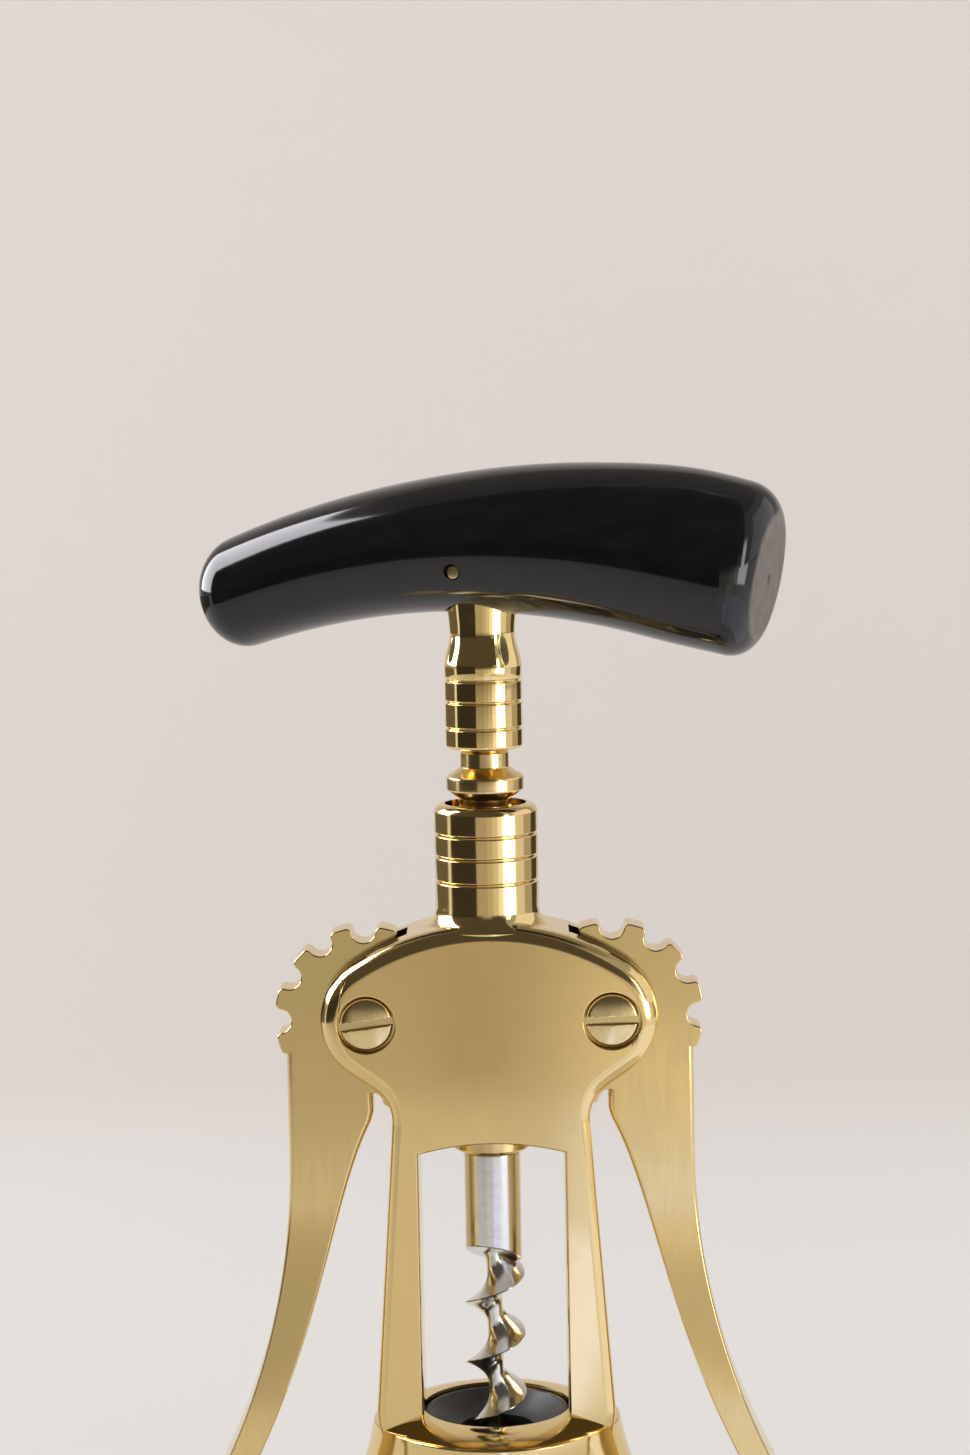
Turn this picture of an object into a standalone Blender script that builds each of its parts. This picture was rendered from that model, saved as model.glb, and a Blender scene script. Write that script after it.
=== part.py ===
# Wing corkscrew with a horn handle. Metres, +Z up, the bell's rim on z = 0, the turning axis on x = y = 0,
# the front towards -Y. The levers hang down and the worm is drawn up.
import math

import bmesh
import bpy
from mathutils import Matrix, Vector

# Fits
GAP = 0.0003
OVERRUN = 0.002
MERGE = 0.000002
FACETS = 40

# Collar on top of the head
COLLAR_TOP = 0.1235
COLLAR_RADIUS = 0.0077
COLLAR_SHOULDER = 0.0013
COLLAR_GROOVE_HEIGHTS = (0.1191, 0.1158, 0.1121)
COLLAR_GROOVE_DEPTH = 0.00035
COLLAR_GROOVE_WIDTH = 0.0006
COLLAR_FOOT = 0.1044
COLLAR_FILLET = 0.0024

# Head of the frame
PIVOT_X = 0.0181
PIVOT_Z = 0.0919
HEAD_HALF_DEPTH = 0.0084
HEAD_EDGE = 0.0026
LOBE_X = 0.0151
LOBE_Z = 0.0921
LOBE_RADIUS = 0.0098
DOME_RADIUS = 0.0372
SHOULDER_SLOPE = math.radians(35.0)
WAIST_RADIUS = 0.0055
SLOT_RADIUS = 0.0142

# Posts and the window between them
POST_TOP_HALF_WIDTH = 0.0146
POST_FOOT_HALF_WIDTH = 0.0178
POST_FOOT_HALF_DEPTH = 0.007
POST_FOOT_Z = 0.033
POST_ROOT_Z = 0.0295
POST_EDGE = 0.0016
WINDOW_HALF_WIDTH = 0.0108
WINDOW_CORNER_Z = 0.0721
WINDOW_ARCH_RISE = 0.0015
WINDOW_EDGE = 0.0004

# Bell
BELL_TOP = 0.0318
BELL_RADIUS = 0.01745
BELL_SHOULDER = 0.0014
BELL_MOUTH_RADIUS = 0.0155
BELL_TOP_THICKNESS = 0.0032
BELL_HOLE_RADIUS = 0.0111
BELL_RIM_EDGE = 0.0005
FLARE_RIM_RADIUS = 0.0222
FLARE_TOP_HALF_DEPTH = 0.0146
FLARE_RIM_HALF_DEPTH = 0.0128
FLARE_END_Z = 0.0135

# Liner in the bell
LINER_THICKNESS = 0.004
LINER_TOP_DROP = 0.0005
LINER_TOP_FLAT = 0.0009
LINER_BORE_RADIUS = 0.0056
LINER_FUNNEL_DEPTH = 0.0029

# Rack and levers
RING_RADIUS = 0.00575
RING_PITCH = 0.00686
RING_CREST = 0.0021
RING_BASE = 0.0045
TOP_RING_Z = 0.1265
FREE_RINGS = 6
RACK_ROOT_RADIUS = 0.0036
RACK_END_CHAMFER = 0.0004
TOOTH_COUNT = 12
TOOTH_TIP_RADIUS = 0.01375
TOOTH_ROOT_RADIUS = 0.0113
TOOTH_GAP_RADIUS = 0.00178
TOOTH_CORNER = 0.0008
PITCH_RADIUS = RING_PITCH * TOOTH_COUNT / (2 * math.pi)
LEVER_HALF_DEPTH = 0.0029
LEVER_TIP_HALF_DEPTH = 0.0062
LEVER_OUTER_X = 0.03025
LEVER_BEND_Z = 0.071
LEVER_BEND_RADIUS = 0.105
LEVER_STRAIGHT_Z = 0.027
LEVER_TIP_Z = 0.0036
LEVER_TIP_WIDTH = 0.0046
LEVER_ROOT_WIDTH = 0.01275
LEVER_ROOT_Z = 0.077
LEVER_NARROWING = 0.015
LEVER_CORNER_Z = 0.0894
LEVER_FLARE_START_Z = 0.064
LEVER_FLARE_END_Z = 0.02
LEVER_TIP_ROUND = 0.004

# Pivots
BARREL_RADIUS = 0.003
BARREL_BORE_RADIUS = 0.002
PIVOT_HEAD_RADIUS = 0.00395
PIVOT_HEAD_HEIGHT = 0.0023
PIVOT_HEAD_EDGE = 0.0005
PIVOT_HEAD_SINK = 0.0001
PIVOT_SHANK_RADIUS = 0.0017
PIVOT_SHANK_REACH = 0.0085
PIVOT_SLOT_WIDTH = 0.0012
PIVOT_SLOT_DEPTH = 0.001
LEFT_SLOT_TURN = math.radians(7.0)
RIGHT_SLOT_TURN = math.radians(1.0)

# Spindle, ferrule and worm
ROD_RADIUS = 0.00245
ROD_TOP = 0.1664
FERRULE_BOTTOM = 0.1317
FERRULE_TOP = 0.1536
FERRULE_RADIUS = 0.00575
FERRULE_WAIST_RADIUS = 0.00485
FERRULE_TOP_RADIUS = 0.0052
FERRULE_WAIST_Z = 0.1487
FERRULE_BODY_TOP = 0.1438
FERRULE_GROOVE_HEIGHTS = (0.1419, 0.1387, 0.1348)
FERRULE_GROOVE_DEPTH = 0.0003
FERRULE_GROOVE_WIDTH = 0.0005
FERRULE_CHAMFER = 0.0006
WORM_SHANK_TOP = 0.0711
WORM_SHANK_RADIUS = 0.00425
WORM_HELIX_TOP = 0.0565
WORM_TIP_Z = 0.0273
WORM_RADIUS = 0.00455
WORM_CORE_RADIUS = 0.0018
WORM_PITCH = 0.0092
WORM_TAPER = 0.0075
WORM_FACING_Z = 0.0338
WORM_RUNOUT = 0.0022
WORM_STUD_RADIUS = 0.0013
WORM_STUD_LENGTH = 0.009

# Horn handle
HORN_BEND_RADIUS = 0.1347
HORN_APEX_REACH = 0.007
HORN_APEX_Z = 0.1624
HORN_LEFT_LENGTH = 0.0519
HORN_RIGHT_LENGTH = 0.0376
HORN_LEAN_SHARE = 0.68
HORN_SIZE = 0.01273
HORN_HEIGHT_SHARES = (0.633, 0.681, 0.728, 0.784, 0.856, 0.928, 1.0, 0.98)
HORN_WIDTH_SHARES = (0.689, 0.736, 0.767, 0.798, 0.819, 0.829, 0.824, 0.809)
HORN_LEFT_ROUND = 0.0056
HORN_RIGHT_ROUND = 0.0047
HORN_TURN = math.radians(-21.0)
PIN_Z = 0.1582
PIN_TURN = math.radians(-26.0)
PIN_RADIUS = 0.00085
PIN_RECESS_RADIUS = 0.00125
PIN_RECESS_DEPTH = 0.0008

BRASS = (0.72, 0.55, 0.25, 1.0)
BRUSHED_BRASS = (0.68, 0.54, 0.27, 1.0)
STEEL = (0.62, 0.61, 0.6, 1.0)
HORN = (0.012, 0.011, 0.011, 1.0)
LINER = (0.02, 0.019, 0.018, 1.0)


def clear_scene():
    for thing in list(bpy.data.objects):
        bpy.data.objects.remove(thing, do_unlink=True)


def new_collection(name):
    made = bpy.data.collections.new(name)
    bpy.context.scene.collection.children.link(made)
    return made


def new_material(name, colour, roughness, metallic):
    made = bpy.data.materials.new(name)
    made.use_nodes = True
    shader = made.node_tree.nodes["Principled BSDF"]
    shader.inputs["Base Color"].default_value = colour
    shader.inputs["Roughness"].default_value = roughness
    shader.inputs["Metallic"].default_value = metallic
    return made


def object_from(mesh, name, collection):
    made = bpy.data.objects.new(name, mesh)
    collection.objects.link(made)
    return made


def mesh_from(bm, name):
    bmesh.ops.recalc_face_normals(bm, faces=bm.faces[:])
    mesh = bpy.data.meshes.new(name)
    bm.to_mesh(mesh)
    bm.free()
    return mesh


def as_cutter(thing):
    thing.hide_render = True
    thing.display_type = "WIRE"
    return thing


def combine(target, other, operation):
    """Adds an exact Boolean of the other object to the target."""
    step = target.modifiers.new(operation.lower() + "_" + other.name, "BOOLEAN")
    step.operation = operation
    step.solver = "EXACT"
    step.object = other


def finished(thing, material):
    thing.data.materials.clear()
    thing.data.materials.append(material)
    thing.data.shade_smooth()
    thing.data.set_sharp_from_angle(angle=math.radians(30))
    return thing


def arc(centre, radius, start, end, count):
    """Points on an arc in a plane, from angle start to angle end, both ends included."""
    points = []
    for index in range(count + 1):
        angle = start + (end - start) * index / count
        points.append((centre[0] + radius * math.cos(angle), centre[1] + radius * math.sin(angle)))
    return points


def turned(name, profile, collection, steps=FACETS, closed=False):
    """A profile of (radius, height) turned about Z. An outer side runs from top to bottom."""
    bm = bmesh.new()
    corners = [bm.verts.new((radius, 0, height)) for radius, height in profile]
    for first, second in zip(corners, corners[1:]):
        bm.edges.new((first, second))
    if closed:
        bm.edges.new((corners[-1], corners[0]))
    mesh = bpy.data.meshes.new(name)
    bm.to_mesh(mesh)
    bm.free()
    made = object_from(mesh, name, collection)
    screw = made.modifiers.new("turn", "SCREW")
    screw.axis = "Z"
    screw.steps = steps
    screw.render_steps = steps
    screw.use_merge_vertices = True
    screw.merge_threshold = MERGE
    return made


def baked(thing, collection):
    """The same object with its modifiers made part of the mesh, so that it can be cut or joined."""
    bpy.context.view_layer.update()
    graph = bpy.context.evaluated_depsgraph_get()
    mesh = bpy.data.meshes.new_from_object(thing.evaluated_get(graph))
    bm = bmesh.new()
    bm.from_mesh(mesh)
    bmesh.ops.remove_doubles(bm, verts=bm.verts[:], dist=MERGE)
    bm.to_mesh(mesh)
    bm.free()
    name = thing.name
    place = thing.matrix_world.copy()
    bpy.data.objects.remove(thing, do_unlink=True)
    made = object_from(mesh, name, collection)
    made.matrix_world = place
    return made


def plate(name, outline, half_depth, collection):
    """A flat outline in X and Z, half_depth thick on each side of y = 0."""
    shape = bpy.data.curves.new(name, "CURVE")
    shape.dimensions = "2D"
    shape.fill_mode = "BOTH"
    shape.extrude = half_depth
    spline = shape.splines.new("POLY")
    spline.points.add(len(outline) - 1)
    for point, (x, z) in zip(spline.points, outline):
        point.co = (x, z, 0, 1)
    spline.use_cyclic_u = True
    curve = object_from(shape, name, collection)
    made = baked(curve, collection)
    made.data.transform(Matrix.Rotation(math.pi / 2, 4, "X"))
    bm = bmesh.new()
    bm.from_mesh(made.data)
    bmesh.ops.recalc_face_normals(bm, faces=bm.faces[:])
    bm.to_mesh(made.data)
    bm.free()
    return made


def cylinder(name, radius, start, end, collection, facets=FACETS):
    """A plain round bar between two points."""
    start = Vector(start)
    end = Vector(end)
    along = end - start
    bm = bmesh.new()
    bmesh.ops.create_cone(
        bm,
        cap_ends=True,
        segments=facets,
        radius1=radius,
        radius2=radius,
        depth=along.length,
    )
    turn = along.to_track_quat("Z", "Y").to_matrix().to_4x4()
    bmesh.ops.transform(bm, matrix=Matrix.Translation((start + end) / 2) @ turn, verts=bm.verts[:])
    return object_from(mesh_from(bm, name), name, collection)


def block(name, low, high, collection):
    """A box between two corners."""
    low = Vector(low)
    high = Vector(high)
    bm = bmesh.new()
    bmesh.ops.create_cube(bm, size=1)
    sides = Matrix.Diagonal((*(high - low), 1))
    bmesh.ops.transform(bm, matrix=Matrix.Translation((low + high) / 2) @ sides, verts=bm.verts[:])
    return object_from(mesh_from(bm, name), name, collection)


def loft(name, rings, collection):
    """A closed skin over rings of points, each with the same count, capped at both ends."""
    bm = bmesh.new()
    rows = [[bm.verts.new(point) for point in ring] for ring in rings]
    for row, following in zip(rows, rows[1:]):
        for index in range(len(row)):
            after = (index + 1) % len(row)
            bm.faces.new((row[index], row[after], following[after], following[index]))
    bm.faces.new(rows[0])
    bm.faces.new(rows[-1])
    return object_from(mesh_from(bm, name), name, collection)


def smooth_step(share):
    share = min(max(share, 0), 1)
    return share * share * (3 - 2 * share)


def grooved(radius, heights, depth, width):
    """Profile points of round grooves cut into a side of this radius, from the top down."""
    points = []
    for height in heights:
        points.append((radius, height + width / 2))
        points.append((radius - depth, height + width / 6))
        points.append((radius - depth, height - width / 6))
        points.append((radius, height - width / 2))
    return points


def half_depth_at(height):
    """Half the frame's depth, which tapers evenly from the pivots to the posts' feet."""
    slope = (HEAD_HALF_DEPTH - POST_FOOT_HALF_DEPTH) / (PIVOT_Z - POST_FOOT_Z)
    return POST_FOOT_HALF_DEPTH + slope * (height - POST_FOOT_Z)


def waist_height():
    """Where the head's lower sides, straight between two arcs, have turned down into the posts."""
    sine = math.sin(SHOULDER_SLOPE)
    cosine = math.cos(SHOULDER_SLOPE)
    across = LOBE_X - POST_TOP_HALF_WIDTH - WAIST_RADIUS + (LOBE_RADIUS + WAIST_RADIUS) * sine
    return LOBE_Z - (LOBE_RADIUS + WAIST_RADIUS) * cosine - across * sine / cosine


def post_half_width(height):
    """Half the width over both posts, which spread evenly towards the bell."""
    share = (waist_height() - height) / (waist_height() - POST_FOOT_Z)
    return POST_TOP_HALF_WIDTH + (POST_FOOT_HALF_WIDTH - POST_TOP_HALF_WIDTH) * share


def dome_centre():
    """The dome's arc touches the lobe's arc from inside."""
    between = DOME_RADIUS - LOBE_RADIUS
    return LOBE_Z - math.sqrt(between * between - LOBE_X * LOBE_X)


def head_side():
    """The right side of the head and its post, from the dome's middle down to the post's root."""
    centre_z = dome_centre()
    join = math.atan2(LOBE_Z - centre_z, LOBE_X)
    points = arc((0, centre_z), DOME_RADIUS, math.pi / 2, join, 9)
    low = SHOULDER_SLOPE - math.pi / 2
    points += arc((LOBE_X, LOBE_Z), LOBE_RADIUS, join, low, 12)[1:]
    waist_x = POST_TOP_HALF_WIDTH + WAIST_RADIUS
    points += arc((waist_x, waist_height()), WAIST_RADIUS, low + math.pi, math.pi, 5)
    steps = 6
    for index in range(1, steps + 1):
        height = waist_height() + (POST_FOOT_Z - waist_height()) * index / steps
        points.append((post_half_width(height), height))
    points.append((post_half_width(POST_FOOT_Z), POST_ROOT_Z))
    return points


def window_side():
    """The right half of the window, from its foot up to the middle of its arch."""
    rise = WINDOW_ARCH_RISE
    radius = (WINDOW_HALF_WIDTH * WINDOW_HALF_WIDTH + rise * rise) / (2 * rise)
    centre = (0, WINDOW_CORNER_Z + rise - radius)
    start = math.acos(WINDOW_HALF_WIDTH / radius)
    points = [(WINDOW_HALF_WIDTH, POST_ROOT_Z)]
    points += arc(centre, radius, start, math.pi / 2, 5)
    return points


def edge_radius(x, z):
    """The head's outer edge is the roundest, the posts' less, and the window's and the root's hardly."""
    inside = abs(x) < WINDOW_HALF_WIDTH + MERGE and z < WINDOW_CORNER_Z + 2 * WINDOW_ARCH_RISE
    if inside or z < POST_FOOT_Z - MERGE:
        return WINDOW_EDGE
    fade = smooth_step((z - waist_height()) / WAIST_RADIUS)
    return POST_EDGE + (HEAD_EDGE - POST_EDGE) * fade


def ways_out(outline):
    """For each corner of a clockwise outline, the move that pushes both of its sides out by one."""
    ways = []
    for index, here in enumerate(outline):
        before = outline[index - 1]
        after = outline[(index + 1) % len(outline)]
        first = (Vector(here) - Vector(before)).normalized()
        second = (Vector(after) - Vector(here)).normalized()
        ways.append(Vector((-first.y - second.y, first.x + second.x)) / (1 + first.dot(second)))
    return ways


def make_upper_frame(collection):
    """Head and posts as one plate with rounded edges, thinner towards the feet."""
    side = head_side()
    inner = window_side()
    outline = side + inner
    outline = outline[:-1] + [(-x, z) for x, z in reversed(outline)][:-1]
    ways = ways_out(outline)
    steps = 3
    angles = [math.pi / 2 * index / steps for index in range(steps + 1)]
    rings = []
    for face, turns in ((1, reversed(angles)), (-1, angles)):
        for angle in turns:
            ring = []
            for (x, z), way in zip(outline, ways):
                radius = edge_radius(x, z)
                inset = radius * (1 - math.cos(angle))
                height = z - way.y * inset
                depth = half_depth_at(height) - radius * (1 - math.sin(angle))
                ring.append((x - way.x * inset, face * depth, height))
            rings.append(ring)
    return loft("frame_body", rings, collection)


def make_collar(cutters):
    """Grooved collar with a foot that spreads along the dome but not to the front or back."""
    top = COLLAR_TOP
    shoulder = arc(
        (COLLAR_RADIUS - COLLAR_SHOULDER, top - COLLAR_SHOULDER), COLLAR_SHOULDER, math.pi / 2, 0, 4
    )
    grooves = grooved(COLLAR_RADIUS, COLLAR_GROOVE_HEIGHTS, COLLAR_GROOVE_DEPTH, COLLAR_GROOVE_WIDTH)
    fillet_centre = (COLLAR_RADIUS + COLLAR_FILLET, COLLAR_FOOT + COLLAR_FILLET)
    fillet = arc(fillet_centre, COLLAR_FILLET, math.pi, 3 * math.pi / 2, 5)
    profile = [(0, top)] + shoulder + grooves + fillet
    profile += [(COLLAR_RADIUS, COLLAR_FOOT - OVERRUN), (0, COLLAR_FOOT - OVERRUN)]
    collar = baked(turned("collar", profile, cutters), cutters)
    for corner in collar.data.vertices:
        corner.co.y = min(max(corner.co.y, -COLLAR_RADIUS), COLLAR_RADIUS)
    return as_cutter(collar)


def flare_share(height):
    return smooth_step((POST_FOOT_Z - height) / (POST_FOOT_Z - FLARE_END_Z))


def flare_radius(height):
    """The bell's side, which swings out from the posts to the rim."""
    top_radius = post_half_width(POST_FOOT_Z)
    return top_radius + (FLARE_RIM_RADIUS - top_radius) * flare_share(height)


def flare_squeeze(height):
    """The flare's depth as a share of its width at this height."""
    half_depth = FLARE_TOP_HALF_DEPTH + (FLARE_RIM_HALF_DEPTH - FLARE_TOP_HALF_DEPTH) * flare_share(height)
    return half_depth / flare_radius(height)


def bell_profile(radius_at):
    """A closed cup's outside from the top's middle to the rim's middle, with a rounded shoulder."""
    side_top = BELL_TOP - BELL_SHOULDER
    shoulder = arc((radius_at(side_top) - BELL_SHOULDER, side_top), BELL_SHOULDER, math.pi / 2, 0, 4)
    steps = 8
    sides = []
    for index in range(1, steps + 1):
        height = side_top + (BELL_RIM_EDGE - side_top) * index / steps
        sides.append((radius_at(height), height))
    rim = radius_at(0) - BELL_RIM_EDGE
    return [(0, BELL_TOP)] + shoulder + sides + [(rim, 0), (0, 0)]


def make_bell_parts(cutters):
    """The straight cup, and the side flares as a turned horn squeezed from front to back."""
    cup = as_cutter(turned("bell_cup", bell_profile(lambda height: BELL_RADIUS), cutters))
    flare = baked(turned("bell_flare", bell_profile(flare_radius), cutters), cutters)
    for corner in flare.data.vertices:
        corner.co.y *= flare_squeeze(corner.co.z)
    return cup, as_cutter(flare)


def make_frame(parts, cutters, material):
    frame = make_upper_frame(parts)
    cup, flare = make_bell_parts(cutters)
    for addition in (make_collar(cutters), cup, flare):
        combine(frame, addition, "UNION")
    bore = cylinder(
        "collar_bore",
        RING_RADIUS + GAP,
        (0, 0, WINDOW_CORNER_Z - OVERRUN),
        (0, 0, COLLAR_TOP + OVERRUN),
        cutters,
    )
    hollow = [
        (0, BELL_TOP + GAP),
        (BELL_HOLE_RADIUS, BELL_TOP + GAP),
        (BELL_HOLE_RADIUS, BELL_TOP - BELL_TOP_THICKNESS),
        (BELL_MOUTH_RADIUS, BELL_TOP - BELL_TOP_THICKNESS),
        (BELL_MOUTH_RADIUS, -OVERRUN),
        (0, -OVERRUN),
    ]
    removed = [bore, turned("bell_hollow", hollow, cutters)]
    head_y = half_depth_at(PIVOT_Z)
    for side, label in ((-1, "left"), (1, "right")):
        x = side * PIVOT_X
        slot_half = LEVER_HALF_DEPTH + GAP
        removed.append(
            cylinder(
                label + "_lever_slot",
                SLOT_RADIUS,
                (x, -slot_half, PIVOT_Z),
                (x, slot_half, PIVOT_Z),
                cutters,
            )
        )
        removed.append(
            cylinder(
                label + "_pivot_hole",
                BARREL_RADIUS + GAP,
                (x, -head_y - OVERRUN, PIVOT_Z),
                (x, head_y + OVERRUN, PIVOT_Z),
                cutters,
                32,
            )
        )
        floor = head_y - PIVOT_HEAD_SINK - PIVOT_HEAD_HEIGHT - GAP
        for front in (-1, 1):
            removed.append(
                cylinder(
                    label + ("_front_recess" if front < 0 else "_back_recess"),
                    PIVOT_HEAD_RADIUS + GAP,
                    (x, front * floor, PIVOT_Z),
                    (x, front * (head_y + OVERRUN), PIVOT_Z),
                    cutters,
                    40,
                )
            )
    for cutter in removed:
        combine(frame, as_cutter(cutter), "DIFFERENCE")
    return finished(baked(frame, parts), material)


def make_liner(parts, material):
    """Black piece in the bell: a hub with a funnel, and a flange whose underside meets the bottle."""
    top = BELL_TOP - LINER_TOP_DROP
    flange_top = BELL_TOP - BELL_TOP_THICKNESS - GAP
    bottom = flange_top - LINER_THICKNESS
    hub = BELL_HOLE_RADIUS - GAP
    flange = BELL_MOUTH_RADIUS - GAP
    profile = [
        (hub - LINER_TOP_FLAT, top),
        (hub, top - LINER_TOP_DROP),
        (hub, flange_top),
        (flange, flange_top),
        (flange, bottom),
        (LINER_BORE_RADIUS, bottom),
        (LINER_BORE_RADIUS, top - LINER_FUNNEL_DEPTH),
    ]
    return finished(turned("bell_liner", profile, parts, closed=True), material)


def make_rack(parts, material):
    """Sleeve with rings at the levers' tooth pitch, running on the rod."""
    profile = [
        (RACK_ROOT_RADIUS - RACK_END_CHAMFER, FERRULE_BOTTOM - GAP),
        (RACK_ROOT_RADIUS, FERRULE_BOTTOM - GAP - RACK_END_CHAMFER),
    ]
    for index in range(FREE_RINGS):
        centre = TOP_RING_Z - index * RING_PITCH
        profile.append((RACK_ROOT_RADIUS, centre + RING_BASE / 2))
        profile.append((RING_RADIUS, centre + RING_CREST / 2))
        profile.append((RING_RADIUS, centre - RING_CREST / 2))
        profile.append((RACK_ROOT_RADIUS, centre - RING_BASE / 2))
    foot_ring = TOP_RING_Z - FREE_RINGS * RING_PITCH
    bottom = WORM_SHANK_TOP + GAP
    bore = ROD_RADIUS + GAP
    profile.append((RACK_ROOT_RADIUS, foot_ring + RING_BASE / 2))
    profile.append((RING_RADIUS, foot_ring + RING_CREST / 2))
    profile.append((RING_RADIUS, bottom + RACK_END_CHAMFER))
    profile.append((RING_RADIUS - RACK_END_CHAMFER, bottom))
    profile.append((bore, bottom))
    profile.append((bore, FERRULE_BOTTOM - GAP))
    return finished(turned("rack_sleeve", profile, parts, 32, closed=True), material)


def tooth_phase():
    """The angle of the tooth gap that takes the rack ring nearest to the pivots."""
    index = round((TOP_RING_Z - PIVOT_Z) / RING_PITCH)
    ring = TOP_RING_Z - index * RING_PITCH
    return math.asin((ring - PIVOT_Z) / PITCH_RADIUS)


def tooth_outline():
    """Round gaps between rounded teeth, about the origin, for teeth that face +X."""
    gap_centre = TOOTH_ROOT_RADIUS + TOOTH_GAP_RADIUS
    turn = 2 * math.pi / TOOTH_COUNT
    corner_ring = TOOTH_TIP_RADIUS - TOOTH_CORNER
    reach = TOOTH_GAP_RADIUS + TOOTH_CORNER
    cosine = (gap_centre**2 + corner_ring**2 - reach**2) / (2 * gap_centre * corner_ring)
    offset = math.acos(cosine)
    points = []
    for index in range(TOOTH_COUNT):
        middle = tooth_phase() + index * turn
        centre = (gap_centre * math.cos(middle), gap_centre * math.sin(middle))
        flanks = []
        for side in (-1, 1):
            place = middle + side * offset
            corner = (corner_ring * math.cos(place), corner_ring * math.sin(place))
            towards_gap = math.atan2(centre[1] - corner[1], centre[0] - corner[0])
            flanks.append((corner, place, towards_gap))
        low, high = flanks
        low_end = low[2] + 2 * math.pi * round((low[1] - low[2]) / (2 * math.pi))
        points += arc(low[0], TOOTH_CORNER, low[1], low_end, 3)
        start = math.atan2(low[0][1] - centre[1], low[0][0] - centre[0])
        end = math.atan2(high[0][1] - centre[1], high[0][0] - centre[0])
        inward = middle + math.pi
        start += 2 * math.pi * round((inward - start) / (2 * math.pi))
        end += 2 * math.pi * round((inward - end) / (2 * math.pi))
        points += arc(centre, TOOTH_GAP_RADIUS, start, end, 8)[1:-1]
        high_start = high[2] + 2 * math.pi * round((high[1] - high[2]) / (2 * math.pi))
        points += arc(high[0], TOOTH_CORNER, high_start, high[1], 3)
    return points


def lever_outer(height):
    """The arm's outer edge: upright, then an arc, then straight on."""
    drop = max(LEVER_BEND_Z - height, 0)
    bend = min(drop, LEVER_BEND_Z - LEVER_STRAIGHT_Z)
    run = LEVER_BEND_RADIUS - math.sqrt(LEVER_BEND_RADIUS**2 - bend**2)
    slope = bend / math.sqrt(LEVER_BEND_RADIUS**2 - bend**2)
    return LEVER_OUTER_X + run + slope * (drop - bend)


def lever_width(height):
    """The arm's width, which shrinks ever more slowly below the toothed end."""
    drop = max(LEVER_ROOT_Z - height, 0)
    return LEVER_TIP_WIDTH + (LEVER_ROOT_WIDTH - LEVER_TIP_WIDTH) * math.exp(-drop / LEVER_NARROWING)


def lever_half_depth(height):
    share = smooth_step((LEVER_FLARE_START_Z - height) / (LEVER_FLARE_START_Z - LEVER_FLARE_END_Z))
    thin = LEVER_HALF_DEPTH - MERGE
    return thin + (LEVER_TIP_HALF_DEPTH - thin) * share


def rounded_section(half_width, half_depth, count, power=5):
    """Points of a rounded rectangle about the origin."""
    points = []
    for index in range(count):
        angle = 2 * math.pi * (index + 0.5) / count
        cosine = math.cos(angle)
        sine = math.sin(angle)
        x = half_width * math.copysign(abs(cosine) ** (2 / power), cosine)
        y = half_depth * math.copysign(abs(sine) ** (2 / power), sine)
        points.append((x, y))
    return points


def arm_rings(side):
    """Level sections down the arm, about the pivot, closing over the rounded tip."""
    heights = []
    upper = 16
    tip_start = LEVER_TIP_Z + LEVER_TIP_ROUND
    for index in range(upper + 1):
        heights.append(LEVER_CORNER_Z + (tip_start - LEVER_CORNER_Z) * index / upper)
    tip_steps = 4
    for index in range(1, tip_steps + 1):
        heights.append(tip_start - LEVER_TIP_ROUND * math.sin(math.pi / 2 * index / (tip_steps + 0.5)))
    rings = []
    for height in heights:
        closing = max((tip_start - height) / LEVER_TIP_ROUND, 0)
        size = math.sqrt(1 - closing * closing)
        half_width = lever_width(height) / 2
        middle = lever_outer(height) - half_width - PIVOT_X
        section = rounded_section(half_width * size, lever_half_depth(height) * size, 16)
        rings.append([(side * (middle + x), y, height - PIVOT_Z) for x, y in section])
    return rings


def make_lever(side, label, parts, cutters, material):
    """A lever about its pivot: the toothed disc, the arm and the bearing hole."""
    outline = [(-side * x, z) for x, z in tooth_outline()]
    lever = plate(label + "_lever", outline, LEVER_HALF_DEPTH, parts)
    arm = as_cutter(loft(label + "_arm", arm_rings(side), cutters))
    combine(lever, arm, "UNION")
    reach = LEVER_HALF_DEPTH + OVERRUN
    hole = cylinder(
        label + "_lever_hole", BARREL_RADIUS + GAP, (0, -reach, 0), (0, reach, 0), cutters, 32
    )
    combine(lever, as_cutter(hole), "DIFFERENCE")
    lever = baked(lever, parts)
    lever.location = (side * PIVOT_X, 0, PIVOT_Z)
    return finished(lever, material)


def slot_cutter(name, centre_y, front, turn, cutters):
    """A screwdriver slot in a pivot's head, about the pivot."""
    reach = PIVOT_HEAD_RADIUS + OVERRUN
    depth = PIVOT_SLOT_DEPTH
    ends = sorted((centre_y - front * depth, centre_y + front * OVERRUN))
    made = block(
        name, (-reach, ends[0], -PIVOT_SLOT_WIDTH / 2), (reach, ends[1], PIVOT_SLOT_WIDTH / 2), cutters
    )
    made.data.transform(Matrix.Rotation(turn, 4, "Y"))
    return as_cutter(made)


def pivot_profile(top):
    """A low domed head from its middle down to the start of its shank."""
    radius = PIVOT_HEAD_RADIUS
    edge = PIVOT_HEAD_EDGE
    bottom = top - PIVOT_HEAD_HEIGHT
    return [
        (0, top),
        (radius - 3 * edge, top),
        (radius - edge, top - edge / 2),
        (radius, top - edge * 3 / 2),
        (radius, bottom),
    ]


def laid_along(thing, front):
    """Turns a piece made along Z so that its top faces the front (-Y) or the back (+Y)."""
    thing.data.transform(Matrix.Rotation(-front * math.pi / 2, 4, "X"))


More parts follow.
